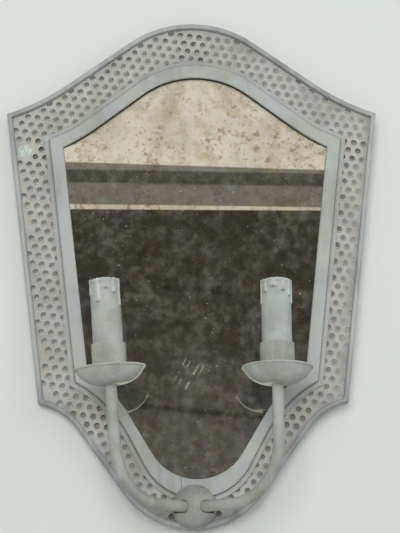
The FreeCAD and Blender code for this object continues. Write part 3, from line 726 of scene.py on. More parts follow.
@dataclass(frozen=True)
class AntiqueMirror(Finish):
    """Old silvering: rusty foxing, hazy clouds, pale pits, a patch of scratches and a painted shade along the
    top under the moulding.
    """

    name: str = "antique_mirror"
    silver: Rgb = (0.65, 0.64, 0.61)
    fox: Rgb = shade(146, 126, 84)
    rose_fox: Rgb = shade(148, 124, 112)
    stain: Rgb = shade(172, 164, 136)
    black: Rgb = shade(62, 62, 58)
    wine: Rgb = shade(160, 132, 122)
    olive: Rgb = shade(148, 152, 118)
    haze: Rgb = shade(150, 142, 128)
    pit: Rgb = shade(206, 204, 196)
    edge_height: float = 354.0
    edge_reach: float = 5.5
    scratch_lean: float = -28.0
    scratched: Vector = field(default_factory=lambda: place(2.0, 10.0, 139.0))

    def surface(self, tree: ShaderTree, effects: Effects) -> Socket:
        """Mottle the silver and break its shine where it has gone.

        Args:
            tree: The material's tree.
            effects: The shared effect groups, not used here.

        Returns:
            The shader's socket.
        """
        at = tree.here()
        clouds = tree.noise(at, 22.0, 5.0, 0.62)
        smear = tree.noise(at, 58.0, 5.0, 0.68)
        speck = tree.noise(at, 520.0, 2.0, 0.5)
        fox = self.foxing(tree, at)
        pits = tree.product(tree.ramp(speck, 0.715, 0.75), tree.ramp(clouds, 0.42, 0.52))
        near, scratch = self.scratches(tree, at)
        bright = tree.math("MAXIMUM", pits, scratch)
        hue = tree.mix(tree.ramp(tree.noise(at, 95.0, 1.0, 0.5), 0.45, 0.58), self.fox, self.rose_fox)
        tint: object = self.silver
        for mask, colour in (
            (tree.ramp(clouds, 0.36, 0.66, 0.0, 0.35), self.haze),
            (tree.ramp(tree.noise(at, 64.0), 0.50, 0.64, 0.0, 0.24), self.wine),
            (tree.ramp(tree.noise(at, 83.0), 0.48, 0.62, 0.0, 0.24), self.olive),
            (tree.ramp(smear, 0.50, 0.66, 0.0, 0.55), self.stain),
            (tree.product(fox, 0.78), hue),
            (bright, self.pit),
            # Painted shade under the moulding's top edge.
            (self.lip_shade(tree, at), self.black),
        ):
            tint = tree.mix(mask, tint, colour)
        smeared = tree.ramp(smear, 0.40, 0.64, 0.0, 0.065)
        clouded = tree.ramp(clouds, 0.40, 0.62, 0.0, 0.035)
        uneven = tree.ramp(tree.noise(at, 104.0), 0.36, 0.64, 0.35, 1.7)
        dull = tree.total(
            tree.product(tree.total(smeared, clouded), uneven), tree.product(fox, 0.07),
            tree.product(near, 0.035), tree.product(pits, 0.5), tree.product(scratch, 0.22))
        metallic = tree.math("SUBTRACT", 1.0, dull, clamp=True)
        return tree.principled(tint, tree.product(bright, 0.4), specular=0.0, metallic=metallic)

    def foxing(self, tree: ShaderTree, at: Socket) -> Socket:
        """Scatter large and small rusty marks in clusters.

        Args:
            tree: The material's tree.
            at: The place on the glass.

        Returns:
            The mask's socket.
        """
        cluster = tree.noise(at, 34.0, 2.0, 0.5)
        blotch = tree.noise(at, 150.0, 4.0, 0.62)
        crumb = tree.noise(at, 330.0, 2.0, 0.55)
        large = tree.product(tree.ramp(blotch, 0.545, 0.66), tree.ramp(cluster, 0.36, 0.56))
        small = tree.product(tree.ramp(crumb, 0.60, 0.70), tree.ramp(cluster, 0.34, 0.50, 0.35, 0.9))
        return tree.math("MAXIMUM", large, small)

    def scratches(self, tree: ShaderTree, at: Socket) -> tuple[Socket, Socket]:
        """Wear a patch in the silver's lower half and cross it with slanting scratches.

        Args:
            tree: The material's tree.
            at: The place on the glass.

        Returns:
            The masks of the worn patch and of the scratches in it.
        """
        rotation = (0.0, math.radians(self.scratch_lean), 0.0)
        turned = tree.node("ShaderNodeMapping", {"Vector": at, "Rotation": rotation}).outputs[0]
        streak = tree.noise(tree.stretch(turned, (1.0, 1.0, 0.03)), 420.0, 1.0, 0.5)
        middle = (self.scratched.x * 1.5, 0.0, self.scratched.z)
        off = tree.vector("DISTANCE", tree.stretch(at, (1.5, 0.0, 1.0)), middle)
        near = tree.ramp(off, 0.012, 0.040, 1.0, 0.0)
        broken = tree.ramp(tree.noise(at, 90.0, 2.0, 0.5), 0.46, 0.60)
        return near, tree.product(tree.ramp(streak, 0.62, 0.72, 0.0, 0.7), near, broken)

    def lip_shade(self, tree: ShaderTree, at: Socket) -> Socket:
        """Paint the shade on the glass along the upper edge, under the moulding's lip.

        Args:
            tree: The material's tree.
            at: The place on the glass.

        Returns:
            The mask's socket.
        """
        # Painted shade: dark where the glass lies close under the lip's wall, on the upper edge only.
        near = tree.node("ShaderNodeAmbientOcclusion", {"Distance": self.edge_reach * MM}, samples=8)
        foot = place(0.0, 0.0, self.edge_height).z
        upper = tree.ramp(tree.split(at)["Z"], foot - 0.002, foot + 0.002)
        return tree.product(tree.ramp(near.outputs["AO"], 0.72, 0.90, 0.9, 0.0), upper)


@dataclass(frozen=True)
class PlainMetal(Finish):
    """Unpainted metal with tarnish in clouds and fine lathe marks."""

    name: str
    colour: Rgb
    tarnish: Rgb
    roughness: float = 0.34

    def surface(self, tree: ShaderTree, effects: Effects) -> Socket:
        """Cloud the metal with tarnish.

        Args:
            tree: The material's tree.
            effects: The shared effect groups.

        Returns:
            The shader's socket.
        """
        at = tree.here()
        clouds = tree.noise(at, 140.0, 5.0, 0.65)
        lines = tree.noise(tree.stretch(at, (1.0, 1.0, 18.0)), 160.0, 2.0, 0.5)
        marks = effects.edges.use(tree, Place=at, Edge_width=0.0003, Corner_reach=0.002)
        share = tree.math("MAXIMUM", tree.ramp(clouds, 0.42, 0.66), marks["Corner"], clamp=True)
        return tree.principled(
            tree.mix(share, self.colour, self.tarnish),
            tree.math("ADD", self.roughness, tree.product(share, 0.25), clamp=True),
            metallic=tree.math("SUBTRACT", 1.0, tree.product(share, 0.35)), height=lines, depth=0.00003)


@dataclass(frozen=True)
class Moulded(Finish):
    """Plastic, rubber or fibre with a fine tooth and faint dust."""

    name: str
    colour: Rgb
    dust: Rgb = shade(150, 144, 132)
    roughness: float = 0.5
    grain_scale: float = 700.0
    dust_share: float = 0.25

    def surface(self, tree: ShaderTree, effects: Effects) -> Socket:
        """Grain the surface and leave dust on it.

        Args:
            tree: The material's tree.
            effects: The shared effect groups, not used here.

        Returns:
            The shader's socket.
        """
        at = tree.here()
        dust = tree.ramp(tree.noise(at, 60.0, 4.0, 0.65), 0.45, 0.75)
        grain = tree.noise(at, self.grain_scale, 3.0, 0.6)
        deep = tuple(0.6 * part for part in self.colour)
        shaded = tree.mix(tree.ramp(grain, 0.3, 0.7, 0.0, 0.35), self.colour, deep)
        return tree.principled(
            tree.mix(tree.product(dust, self.dust_share), shaded, self.dust),
            tree.math("ADD", self.roughness, tree.product(dust, 0.2), clamp=True), height=grain, depth=0.00005)


@dataclass(frozen=True)
class Hardboard(Finish):
    """Pressed brown board with loose fibres and water marks."""

    name: str = "hardboard_back"
    colour: Rgb = shade(128, 98, 68)
    pale: Rgb = shade(158, 130, 96)
    stain: Rgb = shade(84, 62, 42)

    def surface(self, tree: ShaderTree, effects: Effects) -> Socket:
        """Lay fibres in two directions over a stained ground.

        Args:
            tree: The material's tree.
            effects: The shared effect groups, not used here.

        Returns:
            The shader's socket.
        """
        at = tree.here()
        one, two = (
            tree.noise(tree.stretch(at, factors), 700.0, 3.0, 0.6)
            for factors in ((1.0, 1.0, 0.12), (0.12, 1.0, 1.0)))
        fibres = tree.product(tree.total(one, two), 0.5)
        stain = tree.ramp(tree.noise(at, 14.0), 0.52, 0.70, 0.0, 0.7)
        ground = tree.mix(tree.ramp(fibres, 0.4, 0.6), self.colour, self.pale)
        return tree.principled(tree.mix(stain, ground, self.stain), 0.85, height=fibres, depth=0.00015)


def link(name: str, data: bpy.types.ID) -> bpy.types.Object:
    """Put a mesh, a lamp or a camera in the scene.

    Args:
        name: The object's name.
        data: What it shows.

    Returns:
        The object.
    """
    made = bpy.data.objects.new(name, data)
    bpy.context.scene.collection.objects.link(made)
    return made


def new_object(name: str, mesh: bpy.types.Mesh, material: bpy.types.Material) -> bpy.types.Object:
    """Put a finished mesh in the scene with its material.

    Args:
        name: The object's name.
        mesh: Its mesh, already in the model's frame.
        material: Its material.

    Returns:
        The object.
    """
    mesh.materials.clear()
    mesh.materials.append(material)
    return link(name, mesh)


def smooth_mesh(name: str, form: bmesh.types.BMesh, move: Matrix | None = None) -> bpy.types.Mesh:
    """Turn a bmesh into a smooth-shaded mesh with its faces pointing outwards.

    Args:
        name: The mesh's name.
        form: The bmesh, which is freed.
        move: A move into the model's frame.

    Returns:
        The mesh.
    """
    if move is not None:
        bmesh.ops.transform(form, matrix=move, verts=form.verts)
    bmesh.ops.recalc_face_normals(form, faces=form.faces)
    mesh = bpy.data.meshes.new(name)
    form.to_mesh(mesh)
    form.free()
    for polygon in mesh.polygons:
        polygon.use_smooth = True
    return mesh


@dataclass
class ArmTop:
    """The upper end of an arm, where the dish, the cup and the candle stand."""

    side: Side
    lean: float
    across: float = 70.7
    depth: float = 77.0
    height: float = 115.0
    hub_depth: float = 14.0

    def matrix(self) -> Matrix:
        """The move from the candle's own upright place, in metres, onto the arm.

        Returns:
            The move.
        """
        out = Vector((self.side.value * self.across, -(self.depth - self.hub_depth), 0.0)).normalized()
        tilt = math.radians(self.lean)
        up = out * math.sin(tilt) + UP * math.cos(tilt)
        turn = UP.rotation_difference(up).to_matrix().to_4x4()
        return Matrix.Translation(place(self.side.value * self.across, self.depth, self.height)) @ turn


@dataclass(frozen=True)
class WaxRun:
    """One run of wax: the angle of its middle, then its length, half width and stand-off."""

    angle: float
    length: float
    width: float
    stand: float


@dataclass
class CandleSleeve:
    """A candle sleeve with a chipped upper edge and wax runs, in place of the plain one."""

    top: ArmTop
    runs: Sequence[WaxRun]
    radius: float = 12.9
    wall: float = 0.9
    foot: float = 4.3
    head: float = 90.6
    cup_top: float = 37.0
    most_wax: float = 0.9
    edge_round: float = 0.35
    around: int = 144
    along: int = 120
    along_bore: int = 24

    def swell(self, angle: float, height: float) -> float:
        """How far the wax stands out from the tube at a place.

        Args:
            angle: Angle round the tube, in degrees.
            height: Height above the arm's end, in millimetres.

        Returns:
            The stand-off in millimetres.
        """
        out = 0.0
        for run in self.runs:
            off = (angle - run.angle + 180.0) % 360.0 - 180.0
            end = self.head - run.length
            bulb = math.exp(-((height - end - 1.6) / 1.8) ** 2)
            wide = run.width * (1.0 + 0.35 * bulb)
            across = math.exp(-((off / wide) ** 2) * 2.2)
            fade = min(1.0, max(0.0, (height - end + 0.8) / 1.6))
            out = max(out, across * fade * (run.stand + 0.3 * bulb))
        rim = math.exp(-((self.head - 1.4 - height) / 2.0) ** 2) * 0.38
        wobble = noise.noise(Vector((angle * 0.05, height * 0.16, 3.1 * self.top.side.value)))
        low = 0.10 * wobble * min(1.0, max(0.0, (height - self.cup_top) / 6.0))
        return min(self.most_wax, max(out, rim) + low)

    def edge(self, angle: float) -> float:
        """How far the upper edge is worn down at an angle.

        Args:
            angle: Angle round the tube, in degrees.

        Returns:
            The wear in millimetres.
        """
        turn = math.radians(angle)
        wave = noise.noise(Vector((math.cos(turn) * 2.4, math.sin(turn) * 2.4, 7.7)))
        nick = noise.noise(Vector((math.cos(turn) * 9.0, math.sin(turn) * 9.0, 1.3)))
        return 0.35 + 0.35 * wave + max(0.0, nick - 0.15) * 1.6

    def masks(self, angle: float, height: float) -> tuple[float, float]:
        """The painted highlight along the wax's edges and the painted shadow at the foot below it, each from 0
        to 1.

        Args:
            angle: Angle round the tube, in degrees.
            height: Height above the arm's end, in millimetres.

        Returns:
            The two masks.
        """
        here = self.swell(angle, height)
        beside = max(abs(self.swell(angle + 2.0, height) - here), abs(self.swell(angle - 2.0, height) - here))
        above, below = self.swell(angle, height + 0.9), self.swell(angle, height - 0.9)
        rim = max(0.0, 1.0 - (self.head - height) / 1.6)
        edge = min(1.0, max(beside * 4.5, (here - below) * 2.2, rim))
        return (edge, min(1.0, max(0.0, (above - here) * 2.4)))

    def mesh(self) -> bpy.types.Mesh:
        """Build the tube ring by ring: up the outside, over the edge and down the bore.

        Returns:
            The sleeve's mesh, in the model's frame.
        """
        form = bmesh.new()
        # Masks for the painted highlight on the wax runs' edges and the painted shadow at their feet.
        rubbed = form.verts.layers.float.new("wax_edge")
        run_shadow = form.verts.layers.float.new("wax_foot")
        rings: list[list[bmesh.types.BMVert]] = []
        inner = self.radius - self.wall
        profile = [("out", index / self.along) for index in range(self.along + 1)]
        profile += [("over", step) for step in (0.25, 0.5, 0.75)]
        profile += [("in", 1.0 - index / self.along_bore) for index in range(self.along_bore + 1)]
        for kind, share in profile:
            ring = []
            for step in range(self.around):
                angle = 360.0 * step / self.around
                head = self.head - self.edge(angle)
                height = self.foot + (head - self.foot) * share
                radius = inner
                if kind == "out":
                    radius = self.radius + self.swell(angle, height)
                elif kind == "over":
                    outer = self.radius + self.swell(angle, head)
                    height = head + self.edge_round * math.sin(math.pi * share)
                    radius = outer + (inner - outer) * share
                turn = math.radians(angle)
                vert = form.verts.new(Vector((radius * math.cos(turn), radius * math.sin(turn), height)) * MM)
                if kind == "out":
                    vert[rubbed], vert[run_shadow] = self.masks(angle, height)
                ring.append(vert)
            rings.append(ring)
        rings.append(rings[0])
        for low, high in zip(rings, rings[1:]):
            for step in range(self.around):
                after = (step + 1) % self.around
                form.faces.new((low[step], low[after], high[after], high[step]))
        return smooth_mesh("wax_sleeve_" + self.top.side.word, form, self.top.matrix())

    def build(self, material: bpy.types.Material) -> bpy.types.Object:
        """Make the sleeve and let it ride on its own body.

        Args:
            material: The sleeve's paint.

        Returns:
            The sleeve's object.
        """
        word = self.top.side.word
        piece = new_object("wax_sleeve_" + word, self.mesh(), material)
        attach(piece, "sleeve_" + word)
        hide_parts("candle_sleeve_" + word)
        return piece


class GeometryTree:
    """A Geometry Nodes tree with named inputs, turned into a plain mesh when it is run."""

    def __init__(self, name: str, inputs: Mapping[str, float]) -> None:
        """Start the tree.

        Args:
            name: The tree's name.
            inputs: Name and default of each input.
        """
        self.group = bpy.data.node_groups.new(name, "GeometryNodeTree")
        face = self.group.interface
        face.new_socket("Geometry", in_out="INPUT", socket_type="NodeSocketGeometry")
        self.ids: dict[str, str] = {}
        for label, default in inputs.items():
            socket = face.new_socket(label, in_out="INPUT", socket_type="NodeSocketFloat")
            socket.default_value = default
            self.ids[label] = socket.identifier
        face.new_socket("Geometry", in_out="OUTPUT", socket_type="NodeSocketGeometry")
        self.tree = ShaderTree(self.group)
        self.given = self.tree.node("NodeGroupInput").outputs

    def circle(self, radius: Socket, resolution: int) -> Socket:
        """Add a circle with so many points."""
        inputs = {"Resolution": resolution, "Radius": radius}
        return self.tree.node("GeometryNodeCurvePrimitiveCircle", inputs).outputs[0]

    def sweep(self, curve: Socket, profile: Socket, caps: bool) -> Socket:
        """Sweep a profile along a curve, with or without closed ends."""
        inputs = {"Curve": curve, "Profile Curve": profile, "Fill Caps": caps}
        return self.tree.node("GeometryNodeCurveToMesh", inputs).outputs[0]

    def finish(self, geometry: Socket, material: bpy.types.Material) -> None:
        """End the tree in real geometry with its material.

        Args:
            geometry: The geometry to show.
            material: Its material.
        """
        real = self.tree.node("GeometryNodeRealizeInstances", (geometry,)).outputs[0]
        dress = self.tree.node("GeometryNodeSetMaterial", {"Geometry": real, "Material": material})
        self.tree.node("NodeGroupOutput", (dress.outputs[0],))

    def run(
        self, name: str, base: bpy.types.Mesh, material: bpy.types.Material, **values: float
    ) -> bpy.types.Object:
        """Run the tree on a mesh and keep the result as a plain mesh.

        Args:
            name: The new object's name.
            base: The mesh that the tree starts from.
            material: The result's material.
            values: Input names, with underscores for spaces, and their values.

        Returns:
            The finished object.
        """
        helper = link(name + "_base", base)
        modifier = helper.modifiers.new("nodes", "NODES")
        modifier.node_group = self.group
        for label, value in values.items():
            modifier[self.ids[label.replace("_", " ")]] = value
        graph = bpy.context.evaluated_depsgraph_get()
        graph.update()
        mesh = bpy.data.meshes.new_from_object(helper.evaluated_get(graph))
        helper.modifiers.clear()
        bpy.data.objects.remove(helper)
        mesh.name = name
        return new_object(name, mesh, material)


@dataclass
class SocketThread:
    """The rolled thread inside a lamp socket, as one winding wire."""

    top: ArmTop
    radius: float = 6.78
    turns: float = 6.0
    rise: float = 16.8
    wire: float = 0.42
    foot: float = 65.5

    def build(self, material: bpy.types.Material) -> bpy.types.Object:
        """Wind the thread with Geometry Nodes and stand it in its socket.

        Args:
            material: The shell's brass.

        Returns:
            The thread's object.
        """
        name = "socket_thread_" + self.top.side.word
        plan = GeometryTree(name, {"Radius": 0.007, "Turns": 6.0, "Rise": 0.017, "Wire": 0.0004})
        spiral = plan.tree.node("GeometryNodeCurveSpiral", {
            "Resolution": 48, "Rotations": plan.given["Turns"], "Start Radius": plan.given["Radius"],
            "End Radius": plan.given["Radius"], "Height": plan.given["Rise"]})
        plan.finish(plan.sweep(spiral.outputs[0], plan.circle(plan.given["Wire"], 10), True), material)
        piece = plan.run(
            name, bpy.data.meshes.new("empty"), material,
            Radius=self.radius * MM, Turns=self.turns, Rise=self.rise * MM, Wire=self.wire * MM)
        piece.data.transform(self.top.matrix() @ Matrix.Translation(UP * self.foot * MM))
        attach(piece, "frame")
        return piece


def shell_of(node: bpy.types.Object) -> BVHTree:
    """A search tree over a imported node's own triangles.

    Args:
        node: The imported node's object.

    Returns:
        The search tree.
    """
    corners = [vertex.co.copy() for vertex in node.data.vertices]
    return BVHTree.FromPolygons(corners, [tuple(polygon.vertices) for polygon in node.data.polygons])


@dataclass
class PunchedEdges:
    """The rolled-over edge that the punch leaves round every hole of the sheet."""

    sheet: bpy.types.Object
    radius: float = 3.0
    pitch: float = 9.0
    slope: float = 8.0
    start_across: float = 7.2
    start_height: float = 235.85
    half_width: float = 176.0
    full_height: float = 480.0
    reach: int = 56
    probes: int = 12
    probe_out: float = 0.35
    ring_out: float = 0.12
    bead: float = 0.55

    def spots(self) -> list[Vector]:
        """Lay out the sheet's whole pattern.

        Returns:
            The drawing place of each hole, with no depth.
        """
        slope = math.radians(self.slope)
        along, down = (
            Vector((math.cos(turn), 0.0, -math.sin(turn))) * self.pitch
            for turn in (slope, slope + math.pi / 3.0))
        start = Vector((self.start_across, 0.0, self.start_height))
        steps = range(-self.reach, self.reach + 1)
        spots = [start + along * step + down * row for row in steps for step in steps]
        return [spot for spot in spots if abs(spot.x) <= self.half_width and 0.0 < spot.z < self.full_height]

    def holes(self) -> list[tuple[Vector, Vector]]:
        """Find the whole holes of the sheet along its own pattern.

        Returns:
            The place and the surface normal of each hole.
        """
        surface = shell_of(self.sheet)
        quarter = self.probes // 4
        found = []
        for spot in self.spots():
            start = place(spot.x, RAY_START, spot.z)
            if surface.ray_cast(start, INWARDS, RAY_LENGTH)[0] is not None:
                continue
            touched = []
            for probe in range(self.probes):
                angle = math.tau * probe / self.probes
                side = Vector((math.cos(angle), 0.0, math.sin(angle))) * (self.radius + self.probe_out) * MM
                hit = surface.ray_cast(start + side, INWARDS, RAY_LENGTH)
                if hit[0] is not None and hit[1].y < -0.5:
                    touched.append(hit[0])
            if len(touched) == self.probes:
                centre = sum(touched, Vector()) / len(touched)
                across = touched[0] - touched[2 * quarter]
                lean = across.cross(touched[quarter] - touched[3 * quarter]).normalized()
                found.append((centre, lean if lean.y < 0.0 else -lean))
        return found

    def build(self, material: bpy.types.Material) -> bpy.types.Object:
        """Set one small ring on each hole with Geometry Nodes.

        Args:
            material: The sheet's paint.

        Returns:
            The rings' object.
        """
        holes = self.holes()
        base = bpy.data.meshes.new("hole_places")
        base.from_pydata([tuple(centre) for centre, _ in holes], [], [])
        normals = base.attributes.new("lean", "FLOAT_VECTOR", "POINT")
        for index, (_, lean) in enumerate(holes):
            normals.data[index].vector = lean
        plan = GeometryTree("punched_edges", {"Ring radius": 0.003, "Bead": 0.0002})
        ring, bead = plan.circle(plan.given["Ring radius"], 20), plan.circle(plan.given["Bead"], 5)
        lean = plan.tree.node("GeometryNodeInputNamedAttribute", {"Name": "lean"}, data_type="FLOAT_VECTOR")
        turn = plan.tree.node("FunctionNodeAlignRotationToVector", {"Vector": lean.outputs[0]}, axis="Z")
        put = plan.tree.node("GeometryNodeInstanceOnPoints", {
            "Points": plan.given["Geometry"], "Instance": plan.sweep(ring, bead, False),
            "Rotation": turn.outputs[0]})
        plan.finish(put.outputs[0], material)
        ring_radius = (self.radius + self.ring_out) * MM
        piece = plan.run("punched_edges", base, material, Ring_radius=ring_radius, Bead=self.bead * MM)
        for polygon in piece.data.polygons:
            polygon.use_smooth = True
        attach(piece, "frame")
        LOG.info("punched edges: %d holes", len(holes))
        return piece


@dataclass
class FilledPatch:
    """The rough patch of filler and paint over the blind spot in the sheet's upper left corner."""

    across: float = -156.0
    height: float = 350.0
    radius: float = 7.2
    thickness: float = 0.9
    sunk: float = 0.15
    bare_depth: float = 6.0
    rings: int = 16
    around: int = 56

    def spot(self, surface: BVHTree, turn: float, share: float) -> Vector:
        """A place on the skin's surface.

        Args:
            surface: The sheet's search tree.
            turn: The angle round the patch's middle.
            share: The share of its radius.

        Returns:
            The place in the model's frame.
        """
        edge = 1.0 + 0.36 * noise.noise(Vector((math.cos(turn) * 1.9, math.sin(turn) * 1.9, 4.0)))
        reach = self.radius * share * edge
        across = self.across + reach * math.cos(turn)
        height = self.height + reach * math.sin(turn)
        hit = surface.ray_cast(place(across, RAY_START, height), INWARDS, RAY_LENGTH)[0]
        lump = 0.62 + 0.8 * noise.noise(Vector((across * 0.5, height * 0.5, 0.0)))
        rise = self.thickness * lump * max(0.0, 1.0 - share ** 3) - self.sunk
        base = hit.y if hit is not None else place(0.0, self.bare_depth, 0.0).y
        return Vector((across * MM, base - rise * MM, (height - HANG_HEIGHT) * MM))

    def build(self, sheet: bpy.types.Object, material: bpy.types.Material) -> bpy.types.Object:
        """Lay a lumpy skin on the sheet.

        Args:
            sheet: The perforated sheet.
            material: The patch's paint.

        Returns:
            The patch's object.
        """
        surface = shell_of(sheet)
        form = bmesh.new()
        middle = form.verts.new(self.spot(surface, 0.0, 0.0))
        below: list[bmesh.types.BMVert] = []
        for ring in range(1, self.rings + 1):
            turns = [math.tau * step / self.around for step in range(self.around)]
            row = [form.verts.new(self.spot(surface, turn, ring / self.rings)) for turn in turns]
            for step in range(self.around):
                after = (step + 1) % self.around
                if below:
                    form.faces.new((below[step], row[step], row[after], below[after]))
                else:
                    form.faces.new((middle, row[step], row[after]))
            below = row
        mesh = smooth_mesh("filled_patch", form)
        if mesh.polygons[0].normal.y > 0.0:
            mesh.flip_normals()
        piece = new_object("filled_patch", mesh, material)
        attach(piece, "frame")
        return piece


@dataclass(frozen=True)
class RoomBand:
    """One band of the room that the mirror shows, up to an elevation in degrees."""

    top: float
    colour: Rgb
    blur: float = 0.03
    slope: float = 0.0


@dataclass(frozen=True)
class RoomLine:
    """A thin dark joint in the room's far wall, which drops a little towards the right."""

    elevation: float
    slope: float
    half_width: float = 0.10


@dataclass(frozen=True)
class SoftLamp:
    """A square soft lamp aimed at the mirror's middle."""

    name: str
    spot: tuple[float, float, float]
    size: float
    power: float
    colour: Rgb
    aim: tuple[float, float, float] = (0.0, 0.0, -0.21)

    def build(self) -> None:
        """Hang the lamp; shiny things don't show it."""
        data = bpy.data.lights.new(self.name, "AREA")
        data.shape = "SQUARE"
        data.size = self.size
        data.energy = self.power
        data.color = self.colour
        lamp = link(self.name, data)
        lamp.location = self.spot
        towards = Vector(self.aim) - Vector(self.spot)
        lamp.rotation_euler = towards.to_track_quat("-Z", "Y").to_euler()
        lamp.visible_glossy = False


@dataclass
class Surroundings:
    """The plain wall and floor, the soft light and the room that the mirror shows."""

    wall_colour: Rgb = shade(207, 211, 206)
    wall_cloud: Rgb = shade(200, 206, 202)
    line_colour: Rgb = shade(40, 37, 32)
    light_colour: Rgb = (0.97, 0.99, 1.0)
    light_strength: float = 0.52
    seen_colour: Rgb = (0.90, 0.92, 0.90)
    wall_gap: float = 0.006
    wall_turn: float = 0.026
    reach: float = 3.0
    front: float = -4.0
    floor: float = -1.6
    ceiling: float = 2.2
    bands: Sequence[RoomBand] = (
        RoomBand(2.0, shade(120, 114, 104)),
        RoomBand(10.0, shade(106, 104, 98), 5.0),
        RoomBand(17.455, shade(68, 65, 55), 3.5, -0.008),
        RoomBand(17.62, shade(236, 230, 212), slope=-0.015),
        RoomBand(18.43, shade(138, 134, 126), slope=-0.019),
        RoomBand(18.93, shade(84, 86, 74), 0.06, -0.020),
        RoomBand(19.145, shade(146, 143, 134), 0.06, -0.032),
        RoomBand(27.0, shade(250, 246, 228)),
        RoomBand(90.0, shade(120, 118, 110), 5.0),
    )
    lines: Sequence[RoomLine] = (RoomLine(14.45, -0.09), RoomLine(9.85, -0.10))
    lamps: Sequence[SoftLamp] = (
        SoftLamp("room_light", (-0.20, -2.5, 0.04), 1.3, 38.0, (1.0, 0.985, 0.96)),
        SoftLamp("window", (2.0, -1.1, 0.9), 1.5, 15.0, (0.90, 0.95, 1.0)),
    )

    def room(self, tree: ShaderTree) -> Socket:
        """Paint the room's bands and joints by direction, as if on a far flat wall.

        Args:
            tree: The world's tree.

        Returns:
            The colour's socket.
        """
        split = tree.split(tree.node("ShaderNodeTexCoord").outputs["Generated"])
        ahead = tree.math("ABSOLUTE", split["Y"])
        elevation, aside = (
            tree.product(tree.math("ARCTAN2", split[axis], ahead), math.degrees(1.0)) for axis in ("Z", "X"))
        lower = self.bands[0]
        room: object = lower.colour
        for band in self.bands[1:]:
            level = tree.math("SUBTRACT", elevation, tree.product(aside, lower.slope))
            room = tree.mix(tree.ramp(level, lower.top - band.blur, lower.top + band.blur), room, band.colour)
            lower = band
        for line in self.lines:
            level = tree.total(line.elevation, tree.product(aside, line.slope))
            off = tree.math("ABSOLUTE", tree.math("SUBTRACT", elevation, level))
            dark = tree.ramp(off, line.half_width * 0.4, line.half_width * 1.6, 0.6, 0.0)
            room = tree.mix(dark, room, self.line_colour)
        return room

    def world(self) -> None:
        """Light everything evenly, show pale to the camera and the room's bands to shiny things."""
        world = bpy.data.worlds.new("room")
        bpy.context.scene.world = world
        tree = empty_tree(world)
        path = tree.node("ShaderNodeLightPath").outputs
        even, seen, shown = (
            tree.node("ShaderNodeBackground", {"Color": colour, "Strength": strength}).outputs[0]
            for colour, strength in (
                (self.light_colour, self.light_strength), (self.seen_colour, 1.0), (self.room(tree), 1.0)))
        ground = tree.either(path["Is Camera Ray"], even, seen)
        both = tree.either(path["Is Glossy Ray"], ground, shown)
        tree.node("ShaderNodeOutputWorld", {"Surface": both})

    def plaster(self, name: str, one_sided: bool) -> bpy.types.Material:
        """Make a pale matt ground; a one-sided one is clear from behind and to bounced light.

        Args:
            name: The material's name.
            one_sided: Whether it is clear from behind.

        Returns:
            The material.
        """
        material = bpy.data.materials.new(name)
        tree = empty_tree(material)
        clouds = tree.ramp(tree.noise(tree.here(), 3.0), 0.3, 0.7, 0.0, 0.25)
        ground = tree.principled(tree.mix(clouds, self.wall_colour, self.wall_cloud), 0.9, specular=0.1)
        if one_sided:
            behind = tree.node("ShaderNodeNewGeometry").outputs["Backfacing"]
            diffuse = tree.node("ShaderNodeLightPath").outputs["Is Diffuse Ray"]
            clear = tree.math("MAXIMUM", behind, diffuse, clamp=True)
            ground = tree.either(clear, ground, tree.node("ShaderNodeBsdfTransparent").outputs[0])
        tree.node("ShaderNodeOutputMaterial", {"Surface": ground})
        return material

    def plane(self, name: str, corners: Sequence[tuple[float, float, float]], one_sided: bool) -> None:
        """Put up a flat stage piece that isn't part of the mirror.

        Args:
            name: The object's name.
            corners: Its corners in order, in metres.
            one_sided: Whether it is clear from behind.
        """
        mesh = bpy.data.meshes.new(name)
        mesh.from_pydata(corners, [], [tuple(range(len(corners)))])
        piece = new_object(name, mesh, self.plaster(name, one_sided))

    def build(self) -> None:
        """Put up the wall, the floor, the lamps and the world."""
        self.world()
        reach, floor, ceiling, front = self.reach, self.floor, self.ceiling, self.front
        near, far = (self.wall_gap + side * reach * self.wall_turn for side in (-1.0, 1.0))
        wall = ((-reach, near, floor), (reach, far, floor), (reach, far, ceiling), (-reach, near, ceiling))
        ground = ((-reach, front, floor), (reach, front, floor), (reach, far, floor), (-reach, near, floor))
        self.plane("wall", wall, True)
        self.plane("floor", ground, False)
        for lamp in self.lamps:
            lamp.build()


@dataclass(frozen=True)
class Viewpoint:
    """The camera, which looks up at the mirror as the photograph does."""

    spot: tuple[float, float, float] = (-0.01554, -1.32828, -0.57043)
    turn: tuple[float, float, float] = (105.2819, 0.4252, -0.8456)
    lens: float = 101.313
    sensor: float = 36.0

    def build(self) -> None:
        """Set up the camera and make it the scene's own."""
        data = bpy.data.cameras.new("camera")
        data.lens = self.lens
        data.sensor_width = self.sensor
        data.clip_start = 0.01
        camera = link("camera", data)
        camera.location = self.spot
        camera.rotation_euler = tuple(math.radians(angle) for angle in self.turn)
        bpy.context.scene.camera = camera


